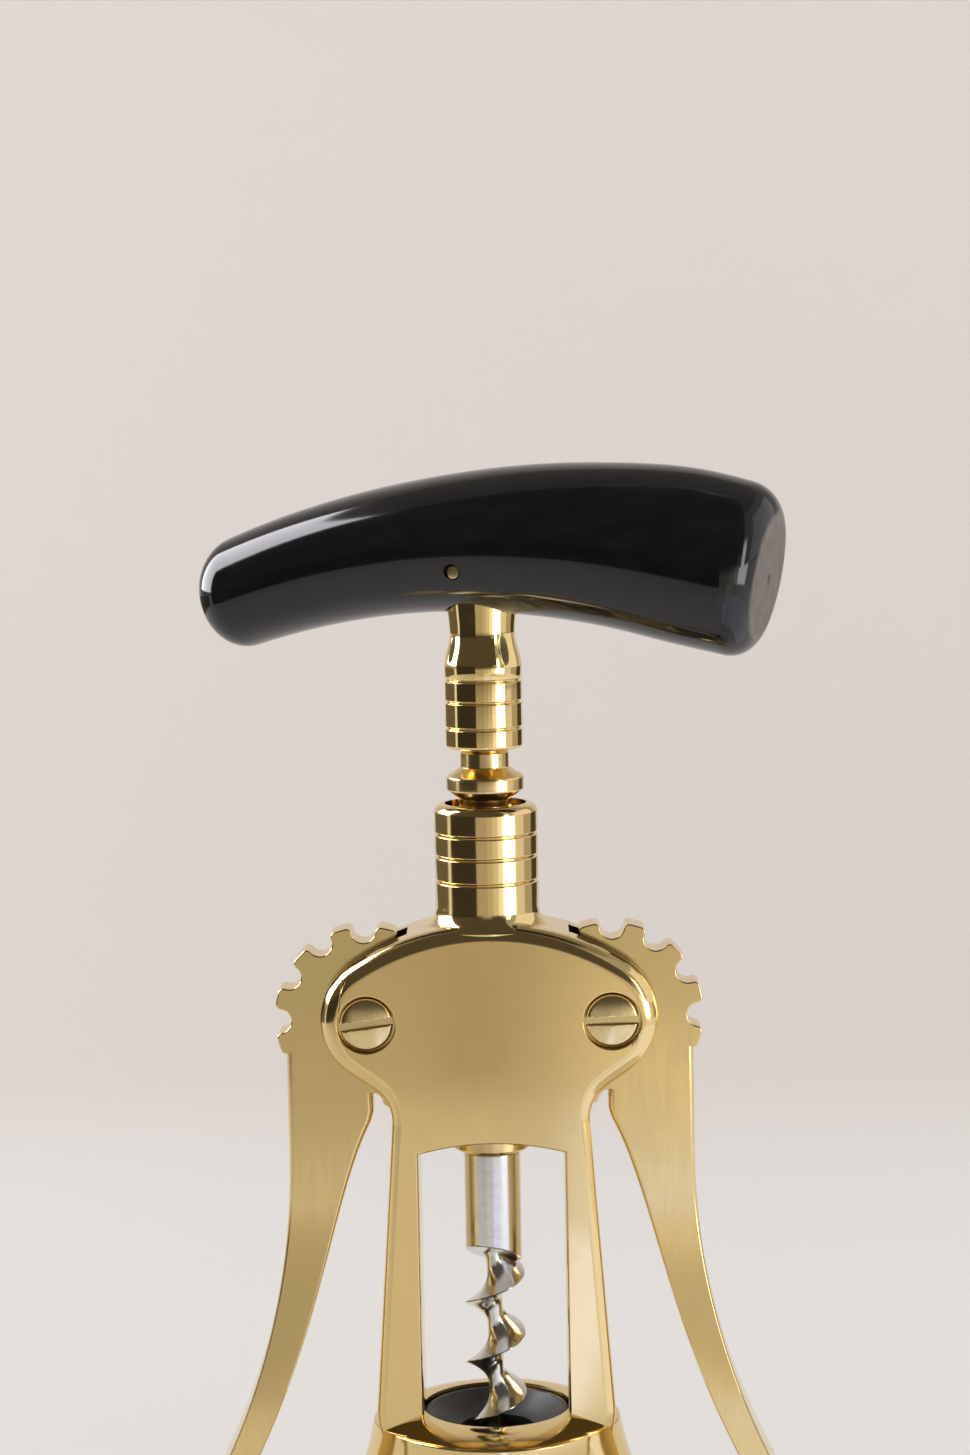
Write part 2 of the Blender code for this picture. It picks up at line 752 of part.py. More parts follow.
def make_pivot(side, label, turn, parts, cutters, material):
    """Slotted screw from the front, and the barrel nut from the back that the lever turns on."""
    head_y = half_depth_at(PIVOT_Z) - PIVOT_HEAD_SINK
    place = (side * PIVOT_X, 0, PIVOT_Z)
    under_head = head_y - PIVOT_HEAD_HEIGHT
    profile = pivot_profile(head_y)
    profile += [
        (PIVOT_SHANK_RADIUS, under_head),
        (PIVOT_SHANK_RADIUS, under_head - PIVOT_SHANK_REACH),
        (0, under_head - PIVOT_SHANK_REACH),
    ]
    screw = baked(turned(label + "_pivot_screw", profile, parts, 32), parts)
    laid_along(screw, -1)
    combine(screw, slot_cutter(label + "_screw_slot", -head_y, -1, turn, cutters), "DIFFERENCE")
    profile = pivot_profile(head_y)
    barrel_end = -under_head + GAP
    profile += [
        (BARREL_RADIUS, under_head),
        (BARREL_RADIUS, barrel_end),
        (BARREL_BORE_RADIUS, barrel_end),
        (BARREL_BORE_RADIUS, under_head - GAP),
        (0, under_head - GAP),
    ]
    barrel = baked(turned(label + "_pivot_barrel", profile, parts, 32), parts)
    laid_along(barrel, 1)
    combine(barrel, slot_cutter(label + "_barrel_slot", head_y, 1, -turn, cutters), "DIFFERENCE")
    for piece in (screw, barrel):
        piece.location = place
        finished(piece, material)


def make_ferrule(parts, material):
    """Turned brass between the rack and the horn: grooved body, swelling to a waist and a flared top."""
    bore = ROD_RADIUS + GAP
    profile = [(FERRULE_TOP_RADIUS, FERRULE_TOP)]
    steps = 4
    for index in range(steps + 1):
        share = smooth_step(index / steps)
        height = FERRULE_TOP + (FERRULE_WAIST_Z - FERRULE_TOP) * (index + 1) / (steps + 1)
        profile.append((FERRULE_TOP_RADIUS + (FERRULE_WAIST_RADIUS - FERRULE_TOP_RADIUS) * share, height))
    for index in range(1, steps + 1):
        share = smooth_step(index / steps)
        height = FERRULE_WAIST_Z + (FERRULE_BODY_TOP - FERRULE_WAIST_Z) * index / steps
        profile.append((FERRULE_WAIST_RADIUS + (FERRULE_RADIUS - FERRULE_WAIST_RADIUS) * share, height))
    profile += grooved(FERRULE_RADIUS, FERRULE_GROOVE_HEIGHTS, FERRULE_GROOVE_DEPTH, FERRULE_GROOVE_WIDTH)
    profile += [
        (FERRULE_RADIUS, FERRULE_BOTTOM + FERRULE_CHAMFER),
        (FERRULE_RADIUS - FERRULE_CHAMFER, FERRULE_BOTTOM),
        (bore, FERRULE_BOTTOM),
        (bore, FERRULE_TOP),
    ]
    return finished(turned("ferrule", profile, parts, 32, closed=True), material)


def make_rod(parts, cutters, material):
    """Steel rod from the worm's stud up into the horn, with the cross hole for the pin."""
    bottom = WORM_SHANK_TOP + GAP
    rod = cylinder("spindle_rod", ROD_RADIUS, (0, 0, bottom), (0, 0, ROD_TOP), parts, 32)
    stud_hole = cylinder(
        "stud_hole",
        WORM_STUD_RADIUS + GAP,
        (0, 0, bottom - OVERRUN),
        (0, 0, WORM_SHANK_TOP + WORM_STUD_LENGTH + GAP),
        cutters,
        24,
    )
    combine(rod, as_cutter(stud_hole), "DIFFERENCE")
    across = cross_direction() * (ROD_RADIUS + OVERRUN)
    middle = Vector((0, 0, PIN_Z))
    pin_hole = cylinder("rod_pin_hole", PIN_RADIUS + GAP, middle - across, middle + across, cutters, 20)
    combine(rod, as_cutter(pin_hole), "DIFFERENCE")
    return finished(baked(rod, parts), material)


def cross_direction():
    """The pin's way through the horn: level, nearly square to its length, towards the back."""
    return Matrix.Rotation(PIN_TURN, 3, "Z") @ Vector((0, 1, 0))


def worm_turn(height):
    """The blade faces +X at WORM_FACING_Z."""
    return 2 * math.pi * (height - WORM_FACING_Z) / WORM_PITCH


def worm_ring(height, count):
    """A level slice of the worm: a round core with one blade that turns with the height."""
    turn = worm_turn(height)
    tip = min((height - WORM_TIP_Z) / WORM_TAPER, 1)
    size = math.sqrt(max(tip * (2 - tip), 0.002))
    full = smooth_step((height - WORM_HELIX_TOP + WORM_RUNOUT) / WORM_RUNOUT)
    points = []
    for index in range(count):
        angle = 2 * math.pi * index / count
        blade = ((1 + math.cos(angle)) / 2) ** 3
        radius = (WORM_CORE_RADIUS + (WORM_RADIUS - WORM_CORE_RADIUS) * blade) * size
        radius += (WORM_SHANK_RADIUS - radius) * full
        points.append((radius * math.cos(angle + turn), radius * math.sin(angle + turn), height))
    return points


def make_worm(parts, material):
    """Steel worm: shank with a stud on top, then the right-hand auger down to the point."""
    count = 18
    rows = 46
    rings = []
    for index in range(rows + 1):
        rings.append(worm_ring(WORM_TIP_Z + (WORM_HELIX_TOP - WORM_TIP_Z) * index / rows, count))
    turn = worm_turn(WORM_HELIX_TOP)
    for radius, height in (
        (WORM_SHANK_RADIUS, WORM_SHANK_TOP),
        (WORM_STUD_RADIUS, WORM_SHANK_TOP),
        (WORM_STUD_RADIUS, WORM_SHANK_TOP + WORM_STUD_LENGTH),
    ):
        ring = []
        for index in range(count):
            angle = 2 * math.pi * index / count + turn
            ring.append((radius * math.cos(angle), radius * math.sin(angle), height))
        rings.append(ring)
    return finished(loft("worm_screw", rings, parts), material)


def curve_through(shares, place):
    """A smooth curve through evenly spaced shares, at a place from 0 to 1 along them."""
    last = len(shares) - 1
    index = min(int(place * last), last - 1)
    part = place * last - index
    first = shares[index]
    second = shares[index + 1]
    before = shares[index - 1] if index > 0 else 2 * first - second
    after = shares[index + 2] if index + 2 <= last else 2 * second - first
    rise = (second - before) / 2
    fall = (after - first) / 2
    square = part * part
    cube = square * part
    return (
        first * (2 * cube - 3 * square + 1)
        + rise * (cube - 2 * square + part)
        + second * (3 * square - 2 * cube)
        + fall * (cube - square)
    )


def horn_half_sizes(length):
    """Half the horn's height and half its width at a length along the bend from its highest point."""
    place = (length + HORN_LEFT_LENGTH) / (HORN_LEFT_LENGTH + HORN_RIGHT_LENGTH)
    half_height = HORN_SIZE * curve_through(HORN_HEIGHT_SHARES, place)
    half_width = HORN_SIZE * curve_through(HORN_WIDTH_SHARES, place)
    return half_height, half_width


def horn_centre(length):
    """How far out along the handle, and how high, the bend's centre line lies."""
    angle = length / HORN_BEND_RADIUS
    reach = HORN_APEX_REACH + HORN_BEND_RADIUS * math.sin(angle)
    height = HORN_APEX_Z - HORN_BEND_RADIUS * (1 - math.cos(angle))
    return reach, height, angle


def horn_ring(length, inset, count):
    """An oval slice that leans with the bend, turned about Z to the handle's place."""
    reach, height, angle = horn_centre(length)
    lean = angle * HORN_LEAN_SHARE
    half_height, half_width = horn_half_sizes(length)
    turn = Matrix.Rotation(HORN_TURN, 3, "Z")
    points = []
    for index in range(count):
        around = 2 * math.pi * index / count
        up = (half_height - inset) * math.sin(around)
        across = (half_width - inset) * math.cos(around)
        place = Vector((reach + up * math.sin(lean), across, height + up * math.cos(lean)))
        points.append(turn @ place)
    return points


def horn_slices():
    """Each slice's length along the bend, and how far its rim is drawn in to round the ends."""
    slices = []
    steps = 5
    for index in range(steps):
        angle = math.pi / 2 * (1 - index / steps)
        inset = HORN_LEFT_ROUND * (1 - math.cos(angle))
        slices.append((HORN_LEFT_ROUND * (1 - math.sin(angle)) - HORN_LEFT_LENGTH, inset))
    body = 12
    start = HORN_LEFT_ROUND - HORN_LEFT_LENGTH
    end = HORN_RIGHT_LENGTH - HORN_RIGHT_ROUND
    for index in range(body + 1):
        slices.append((start + (end - start) * index / body, 0))
    for index in range(1, steps + 1):
        angle = math.pi / 2 * index / steps
        inset = HORN_RIGHT_ROUND * (1 - math.cos(angle))
        slices.append((end + HORN_RIGHT_ROUND * math.sin(angle), inset))
    return slices


def pin_half_length():
    """From the axis to just below the horn's surface, at the pin's height."""
    length = -HORN_BEND_RADIUS * math.asin(HORN_APEX_REACH / HORN_BEND_RADIUS)
    half_height, half_width = horn_half_sizes(length)
    drop = (horn_centre(length)[1] - PIN_Z) / half_height
    return half_width * math.sqrt(1 - drop * drop) - PIN_RECESS_DEPTH


def make_horn(parts, cutters, material):
    """Bent oval horn with a blind bore for the rod, a seat for the ferrule and the pin's hole."""
    rings = [horn_ring(length, inset, 28) for length, inset in horn_slices()]
    horn = loft("horn_handle", rings, parts)
    bore_start = (0, 0, FERRULE_BOTTOM)
    bore = cylinder("horn_bore", ROD_RADIUS + GAP, bore_start, (0, 0, ROD_TOP + GAP), cutters, 32)
    seat_radius = FERRULE_TOP_RADIUS + GAP
    seat = cylinder("ferrule_seat", seat_radius, bore_start, (0, 0, FERRULE_TOP + GAP), cutters, 40)
    middle = Vector((0, 0, PIN_Z))
    reach = pin_half_length()
    outside = cross_direction() * (reach + PIN_RECESS_DEPTH + OVERRUN)
    hole = cylinder("horn_pin_hole", PIN_RADIUS + GAP, middle - outside, middle + outside, cutters, 20)
    removed = [bore, seat, hole]
    for side in (-1, 1):
        inner = middle + cross_direction() * side * reach
        name = "front_pin_recess" if side < 0 else "back_pin_recess"
        removed.append(cylinder(name, PIN_RECESS_RADIUS, inner, middle + outside * side, cutters, 24))
    for cutter in removed:
        combine(horn, as_cutter(cutter), "DIFFERENCE")
    return finished(baked(horn, parts), material)


def make_pin(parts, material):
    """Brass pin through the horn and the rod, square to the handle."""
    middle = Vector((0, 0, PIN_Z))
    reach = cross_direction() * pin_half_length()
    return finished(cylinder("handle_pin", PIN_RADIUS, middle - reach, middle + reach, parts, 20), material)


def hang_from(name, place, pieces, collection, parent=None):
    """An empty on a joint's axis, with the pieces that move about it as its children."""
    pivot = bpy.data.objects.new(name, None)
    collection.objects.link(pivot)
    pivot.location = place
    if parent:
        pivot.parent = parent
    bpy.context.view_layer.update()
    for piece in pieces:
        piece.parent = pivot
        piece.matrix_parent_inverse = pivot.matrix_world.inverted()
    return pivot


def main():
    clear_scene()
    parts = new_collection("wing_corkscrew")
    cutters = new_collection("cutters")
    brass = new_material("brass", BRASS, 0.18, 1.0)
    lever_brass = new_material("lever_brass", BRUSHED_BRASS, 0.24, 1.0)
    rack_brass = new_material("rack_brass", BRASS, 0.2, 1.0)
    ferrule_brass = new_material("ferrule_brass", BRASS, 0.14, 1.0)
    screw_brass = new_material("screw_brass", BRASS, 0.16, 1.0)
    pin_brass = new_material("pin_brass", BRASS, 0.3, 1.0)
    steel = new_material("worm_steel", STEEL, 0.16, 1.0)
    rod_steel = new_material("rod_steel", STEEL, 0.3, 1.0)
    horn_black = new_material("black_horn", HORN, 0.12, 0.0)
    liner_black = new_material("black_liner", LINER, 0.5, 0.0)
    make_frame(parts, cutters, brass)
    make_liner(parts, liner_black)
    make_pivot(-1, "left", LEFT_SLOT_TURN, parts, cutters, screw_brass)
    make_pivot(1, "right", RIGHT_SLOT_TURN, parts, cutters, screw_brass)
    make_lever(-1, "left", parts, cutters, lever_brass)
    make_lever(1, "right", parts, cutters, lever_brass)
    rack = make_rack(parts, rack_brass)
    turning = [
        make_rod(parts, cutters, rod_steel),
        make_ferrule(parts, ferrule_brass),
        make_horn(parts, cutters, horn_black),
        make_pin(parts, pin_brass),
        make_worm(parts, steel),
    ]
    slide = hang_from("rack_slide_axis", (0, 0, TOP_RING_Z), [rack], parts)
    hang_from("spindle_axis", (0, 0, 0), turning, parts, slide)


main()
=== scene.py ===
# %% [markdown]
# A wing corkscrew for wine bottles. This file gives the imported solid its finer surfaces, materials, light and
# camera. Each new piece takes the place of the solid piece it is named after and moves with the same body.

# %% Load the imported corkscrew
import math

import bpy
from mathutils import Matrix, Vector


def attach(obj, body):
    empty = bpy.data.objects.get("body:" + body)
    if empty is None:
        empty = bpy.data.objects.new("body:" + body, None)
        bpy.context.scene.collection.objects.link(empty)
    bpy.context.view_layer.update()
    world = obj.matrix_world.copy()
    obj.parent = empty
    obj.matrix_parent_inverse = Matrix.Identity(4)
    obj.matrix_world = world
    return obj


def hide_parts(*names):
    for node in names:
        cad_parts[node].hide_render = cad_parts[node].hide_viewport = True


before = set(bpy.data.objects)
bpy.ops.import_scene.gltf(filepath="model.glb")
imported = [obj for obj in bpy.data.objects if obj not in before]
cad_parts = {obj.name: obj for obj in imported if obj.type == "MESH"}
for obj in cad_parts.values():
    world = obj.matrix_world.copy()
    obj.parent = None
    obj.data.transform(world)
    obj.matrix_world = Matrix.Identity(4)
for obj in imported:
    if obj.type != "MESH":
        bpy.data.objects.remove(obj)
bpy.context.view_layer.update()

# %% [markdown]
# Everything below is in metres. Sizes read more easily in millimetres, so one name turns one into the other.
# The joints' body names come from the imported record, and each new piece rides on one of them.

# %% Units and bodies
mm = 0.001


def in_mm(values, digits=2):
    """Lengths in millimetres, for reading."""
    return [round(value / mm, digits) for value in values]


# %% [markdown]
# The photograph was taken from a little above the worm, about half a metre away, with a long lens and the
# camera rolled by one degree. The same place and lens are set here, so that the picture and the
# render can be laid over each other.

# %% Camera
distance = 500 * mm
turn, dip, roll = math.radians(-0.53), math.radians(6.33), math.radians(-1.09)
look = Vector((math.cos(dip) * math.sin(turn), math.cos(dip) * math.cos(turn), -math.sin(dip)))
level = Vector((math.cos(turn), -math.sin(turn), 0))
upright = level.cross(look)
right = level * math.cos(roll) + upright * math.sin(roll)
up = upright * math.cos(roll) - level * math.sin(roll)
middle = level * 0.15 * mm + Vector((0, 0, 134.64 * mm))
lens = bpy.data.cameras.new("long_lens")
lens.sensor_fit = "VERTICAL"
lens.sensor_height = 36
lens.lens = 83.72
lens.clip_start = 0.01
camera = bpy.data.objects.new("camera", lens)
bpy.context.scene.collection.objects.link(camera)
turned = Matrix((right, up, -look)).transposed().to_4x4()
camera.matrix_world = Matrix.Translation(middle - look * distance) @ turned
bpy.context.scene.camera = camera
bpy.context.scene.view_settings.view_transform = "Standard"
print("camera at", in_mm(camera.matrix_world.translation))

# %% [markdown]
# Each new piece starts from one point. The pen below draws on from it with two hand tools: an extrude makes a
# straight side, and a spin makes an arc about a centre, so neighbouring arcs meet without a kink. Drawing an
# outline this way keeps the radii of the real tooling, where tracing dots would leave a wavy polished edge.

# %% A pen that draws outlines in the X-Z plane
def done():
    """Leaves edit mode."""
    bpy.ops.object.mode_set(mode="OBJECT")


def pick(*things):
    """Makes these the only selected objects, and the first of them the active one."""
    if bpy.context.object and bpy.context.object.mode != "OBJECT":
        done()
    bpy.ops.object.select_all(action="DESELECT")
    for thing in things:
        thing.select_set(True)
    bpy.context.view_layer.objects.active = things[0] if things else None


def settle():
    """Puts the object's place, turn and scale into its mesh."""
    bpy.ops.object.transform_apply(location=True, rotation=True, scale=True)


def choose_all(thing, kind="VERT", action="SELECT"):
    """Opens a piece in edit mode, with all of its points or edges selected, or none of them."""
    pick(thing)
    bpy.ops.object.mode_set(mode="EDIT")
    bpy.ops.mesh.select_mode(type=kind)
    bpy.ops.mesh.select_all(action=action)


def point(name, place):
    """A new piece of one point, open in edit mode: a small plane, merged at its centre."""
    pick()
    bpy.ops.mesh.primitive_plane_add(size=mm, location=place)
    made = bpy.context.object
    made.name = name
    choose_all(made)
    bpy.ops.mesh.merge(type="CENTER")
    return made


def pull(move):
    """Extrudes the selection, and moves the new end."""
    bpy.ops.mesh.extrude_region_move(TRANSFORM_OT_translate={"value": move})


def draw(name, start, strokes):
    """A stroke is a place (x, z) to draw to, or ("arc", centre x, centre z, degrees, steps). Arcs run
    anticlockwise, seen from the front."""
    x, z = start
    made = point(name, (x, 0, z))
    for stroke in strokes:
        if stroke[0] == "arc":
            centre_x, centre_z, degrees, steps = stroke[1:]
            angle = math.radians(degrees)
            bpy.ops.mesh.spin(steps=steps, angle=angle, center=(centre_x, 0, centre_z), axis=(0, 1, 0))
            across, rise = x - centre_x, z - centre_z
            x = centre_x + across * math.cos(angle) - rise * math.sin(angle)
            z = centre_z + across * math.sin(angle) + rise * math.cos(angle)
        else:
            pull((stroke[0] - x, 0, stroke[1] - z))
            x, z = stroke
    done()
    settle()
    return made

# %% [markdown]
# The frame is one brass casting, polished all over: a head that carries the pivots, two posts, and a bell.
# The head and posts could be pushed out of a block, but their outline is all arcs and straight lines that
# touch without a kink. So the places where they touch are worked out first, from the radii.

# %% Head and posts: where the arcs meet
lobe = (15.1 * mm, 92.1 * mm, 9.8 * mm)
dome = 37.2 * mm
dome_z = lobe[1] - math.sqrt((dome - lobe[2]) ** 2 - lobe[0] ** 2)
shoulder = math.radians(35)
waist_radius, post_top, post_foot, foot_z, root_z = 5.5 * mm, 14.6 * mm, 17.8 * mm, 33 * mm, 27 * mm
reach = lobe[0] - post_top - waist_radius + (lobe[2] + waist_radius) * math.sin(shoulder)
waist_z = lobe[1] - (lobe[2] + waist_radius) * math.cos(shoulder) - reach * math.tan(shoulder)
lean = math.degrees(math.atan2(lobe[1] - dome_z, lobe[0]))
drop = (post_foot - post_top - waist_radius, foot_z - waist_z)
spread = math.atan2(-drop[1], -drop[0]) - math.acos(waist_radius / math.hypot(*drop))
waist_end = (post_top + waist_radius * (1 - math.cos(spread)), waist_z - waist_radius * math.sin(spread))
shoulder_end = (post_top + waist_radius * (1 - math.sin(shoulder)), waist_z + waist_radius * math.cos(shoulder))
shoulder_start = (lobe[0] + lobe[2] * math.sin(shoulder), lobe[1] - lobe[2] * math.cos(shoulder))
print("heights of the waist and the dome's centre in mm:", in_mm((waist_z, dome_z)))

# %% [markdown]
# One half is drawn: over the dome, round the lobe, down the straight shoulder, round the waist, down the post,
# which bends in a little at its foot, and back up the window. A mirror modifier makes the other half.

# %% Head and posts: outline
def between(first, second, count):
    """Strokes along a straight line in even steps."""
    steps = [index / count for index in range(1, count + 1)]
    return [tuple(a + (b - a) * step for a, b in zip(first, second)) for step in steps]


def use(thing, kind, **settings):
    """Adds a modifier and applies it at once."""
    pick(thing)
    bpy.ops.object.modifier_add(type=kind)
    step = thing.modifiers[-1]
    for name, value in settings.items():
        setattr(step, name, value)
    bpy.ops.object.modifier_apply(modifier=step.name)
    return thing


window, window_z, rise = 10.8 * mm, 72.1 * mm, 1.5 * mm
arch = (window**2 + rise**2) / (2 * rise)
plate = draw("frame_head", (0, dome_z + dome), [
    ("arc", 0, dome_z, lean - 90, 16),
    ("arc", lobe[0], lobe[1], math.degrees(-math.pi / 2 + shoulder) - lean, 30),
    *between(shoulder_start, shoulder_end, 6),
    ("arc", post_top + waist_radius, waist_z, math.degrees(math.pi / 2 - shoulder + spread), 14),
    *between(waist_end, (post_foot, foot_z), 8), (post_foot - 0.1 * mm, foot_z - 2 * mm),
    (post_foot - 0.5 * mm, foot_z - 4 * mm), (post_foot - 0.8 * mm, root_z), (window, root_z),
    (window, window_z), ("arc", 0, window_z + rise - arch, 90 - math.degrees(math.acos(window / arch)), 8),
])
use(plate, "MIRROR", merge_threshold=0.02 * mm)
print("outline points:", len(plate.data.vertices))

# %% [markdown]
# With no mouse at hand, points and edges are selected by their place. A mesh that is closed, with no doubles
# and all faces turned outwards, is what every later cut relies on.

# %% Selecting by place, and closing up
def choose(thing, kind, test):
    """Selects the points or edges whose middle passes the test, and leaves edit mode on."""
    choose_all(thing, kind, "DESELECT")
    done()
    points, count = thing.data.vertices, 0
    for item in thing.data.edges if kind == "EDGE" else points:
        if kind == "EDGE":
            first, second = (points[index].co for index in item.vertices)
            item.select = bool(test((first + second) / 2, second - first))
        else:
            item.select = bool(test(item.co))
        count += item.select
    bpy.ops.object.mode_set(mode="EDIT")
    return count


def turn_by(angle, axis="Z", centre=(0, 0, 0)):
    """Turns the selection. With no window it goes round the other way, so some angles have a minus."""
    bpy.ops.transform.rotate(value=angle, orient_axis=axis, orient_type="GLOBAL", center_override=centre)


def size_by(size, centre=(0, 0, 0)):
    """Resizes the selection about a centre."""
    bpy.ops.transform.resize(value=size, center_override=centre)


def close_up(thing):
    """Merges doubles and turns all faces outwards."""
    choose_all(thing)
    bpy.ops.mesh.remove_doubles(threshold=0.002 * mm)
    bpy.ops.mesh.normals_make_consistent(inside=False)
    done()
    return thing


def thicken(thing, half):
    """Fills a drawn outline and pulls it into a plate, with half of it on each side of the drawing."""
    choose_all(thing)
    bpy.ops.mesh.edge_face_add()
    bpy.ops.transform.translate(value=(0, half, 0))
    pull((0, -2 * half, 0))
    close_up(thing)

# %% [markdown]
# The outline becomes a plate by filling and extruding. The casting thins from the pivots to the feet, so its
# front and back faces are turned a little about a line through the pivots, as a file held at an angle would.

# %% Head and posts: thickness
half_depth, foot_depth = 8.4 * mm, 7.0 * mm
pivot_x, pivot_z = 18.1 * mm, 91.9 * mm
taper = math.atan((half_depth - foot_depth) / (pivot_z - foot_z))
thicken(plate, half_depth)
for side in (-1, 1):
    choose(plate, "VERT", lambda place: place.y * side > 0)
    turn_by(side * taper, "X", (0, side * half_depth, pivot_z))
    done()
feet = [corner.co for corner in plate.data.vertices if corner.co.z < foot_z + mm]
print("half depth at the feet in mm:", in_mm([max(place.y for place in feet)]))

# %% [markdown]
# The polishing wheel has rounded the long edges, most of all round the head, less on the posts, and hardly at
# all in the window. One bevel does them all, with a weight on each edge.

# %% Head and posts: rounded edges
head_round, post_round, window_round = 2.6 * mm, 1.6 * mm, 0.4 * mm


def eased(share):
    """A share from 0 to 1 that starts and ends slowly."""
    share = min(max(share, 0), 1)
    return share * share * (3 - 2 * share)


widths = plate.data.attributes.new("bevel_weight_edge", "FLOAT", "EDGE")
for edge in plate.data.edges:
    first, second = (plate.data.vertices[index].co for index in edge.vertices)
    place = (first + second) / 2
    if first.y * second.y < 0:
        continue
    in_window = abs(place.x) < window + 0.1 * mm and place.z < window_z + 2 * rise
    if in_window or place.z < root_z + 0.1 * mm:
        radius = window_round
    else:
        radius = post_round + (head_round - post_round) * eased((place.z - waist_z) / waist_radius)
    widths.data[edge.index].value = radius / head_round
use(plate, "BEVEL", limit_method="WEIGHT", width=head_round, segments=8, use_clamp_overlap=False)
print("rounded plate:", len(plate.data.polygons), "faces")

# %% [markdown]
# The collar on top is turned, so half its section is drawn and spun. Its foot runs out along the dome in a
# fillet, but front and back there is less metal to stand on, so there the fillet is pressed in.

# %% Collar
def turn_up(name, start, strokes, steps=96):
    """Draws half a cross-section of radius and height, and spins it into a turned piece."""
    made = draw(name, start, strokes)
    choose_all(made)
    bpy.ops.mesh.spin(steps=steps, angle=math.tau, center=(0, 0, 0), axis=(0, 0, 1))
    done()
    return close_up(made)


def flanks(level_now, steps):
    """Strokes down one flank of a groove or ring and up its mirror image: radius and height above the level."""
    down = [(radius, level_now + up) for radius, up in steps]
    return down + [(radius, level_now - up) for radius, up in reversed(steps) if up]


collar_top, collar_radius, collar_low = 123.5 * mm, 7.7 * mm, 102.4 * mm
brow, fillet = 1.3 * mm, 3 * mm
fillet_x = collar_radius + fillet
fillet_z = dome_z + math.sqrt((dome + fillet) ** 2 - fillet_x**2)
touch = math.degrees(math.atan2(fillet_z - dome_z, fillet_x))
lip, deep = collar_radius - 0.06 * mm, collar_radius - 0.34 * mm
groove = ((collar_radius, 0.34 * mm), (lip, 0.24 * mm), (deep, 0.06 * mm))
strokes = [(collar_radius - brow, collar_top), ("arc", collar_radius - brow, collar_top - brow, -90, 10)]
for level_now in (119.1 * mm, 115.8 * mm, 112.1 * mm):
    strokes += flanks(level_now, groove)
strokes += [
    (collar_radius, fillet_z + 0.1 * mm), (collar_radius, fillet_z), ("arc", fillet_x, fillet_z, touch, 14),
    (collar_radius, collar_low), (0, collar_low),
]
collar = turn_up("collar", (0, collar_top), strokes, 128)
pressed_in = 0.42
for side in (-1, 1):
    count = choose(collar, "VERT", lambda place: place.y * side > collar_radius)
    size_by((1, pressed_in, 1), (0, side * collar_radius, 0))
    done()
    print("points pressed in:", count)

# %% [markdown]
# The bell is two forms in one casting. A plain cup fits over the bottle's lip, and a wider horn flares out of
# the posts at the sides. The flare is turned too, and then squeezed from front to back, level by level, so
# that it stays inside the cup there and leaves the crease that runs down each side of the bell.

# %% Bell: its curves
bell_top, bell_radius, flare_rim, flare_end = 31.8 * mm, 17.45 * mm, 22.2 * mm, 13.5 * mm
flare_depth, flare_pinch, overhang, rim_round = 16.2 * mm, 3.4 * mm, 0.6 * mm, 0.5 * mm


def flare_at(height):
    """Half the flare's width and half its depth at a height."""
    share = eased((foot_z - height) / (foot_z - flare_end))
    top_width = post_foot + overhang
    return top_width + (flare_rim - top_width) * share, flare_depth - flare_pinch * share


def shoulder_of(radius, top, fall=6.2 * mm, brow=0.3 * mm, angle=30):
    """Strokes over a rounded shoulder that ends in a firm edge, and the height of that edge."""
    turn = math.radians(angle)
    round_radius = fall / math.sin(turn) - brow * (1 / math.sin(turn) - 1)
    start_x = radius - brow - (round_radius - brow) * math.sin(turn)
    edge_z = top - round_radius + (round_radius - brow) * math.cos(turn)
    return [
        (start_x, top),
        ("arc", start_x, top - round_radius, -angle, 12),
        ("arc", radius - brow, edge_z, angle - 90, 5),
    ], edge_z


def squeeze(thing, height, size, within=0.002 * mm):
    """Resizes the points at one height about the axis."""
    choose(thing, "VERT", lambda place: abs(place.z - height) < within)
    size_by(size, (0, 0, height))
    done()

# %% [markdown]
# The flare's top is three hundredths of a millimetre lower than the cup's. Faces that lie exactly in one plane
# would leave a Boolean in doubt, and open the mesh.

# %% Bell: cup and flare
strokes, _ = shoulder_of(bell_radius, bell_top)
strokes += [(bell_radius, rim_round), ("arc", bell_radius - rim_round, rim_round, -90, 5), (0, 0)]
cup = turn_up("cup", (0, bell_top), strokes, 128)
flare_top = bell_top - 0.03 * mm
widest = flare_at(flare_top - 1.5 * mm)[0]
strokes, side_top = shoulder_of(widest, flare_top)
heights = [side_top + (rim_round - side_top) * index / 28 for index in range(1, 29)]
strokes += [(flare_at(height)[0], height) for height in heights]
strokes += [("arc", flare_rim - rim_round, rim_round, -90, 5), (0, 0)]
flare = turn_up("flare", (0, flare_top), strokes, 128)
for height in sorted({round(corner.co.z, 6) for corner in flare.data.vertices}):
    width, depth = flare_at(height)
    squeeze(flare, height, (1, depth / width, 1))
print("flare in mm:", in_mm(flare.dimensions))

# %% [markdown]
# Joining comes first and drilling last, as in the workshop: the bore for the rack, the bell's mouth, a slot
# on each side for a lever, and a stepped hole for each pivot. Each cutter is longer than the wall it cuts.

# %% Frame: join, then drill
def cut(thing, cutter, operation="DIFFERENCE"):
    """An exact Boolean with a closed cutter, which is then thrown away."""
    use(thing, "BOOLEAN", operation=operation, solver="EXACT", object=cutter)
    mesh = cutter.data
    bpy.data.objects.remove(cutter)
    bpy.data.meshes.remove(mesh)
    return thing


def bar(name, radius, start, end, sides=64):
    """A round bar between two points, used for cutting."""
    start, end = Vector(start), Vector(end)
    pick()
    bpy.ops.mesh.primitive_cylinder_add(vertices=sides, radius=radius, depth=(end - start).length)
    made = bpy.context.object
    made.name = name
    turned = (end - start).to_track_quat("Z", "Y").to_matrix().to_4x4()
    made.matrix_world = Matrix.Translation((start + end) / 2) @ turned
    settle()
    return made


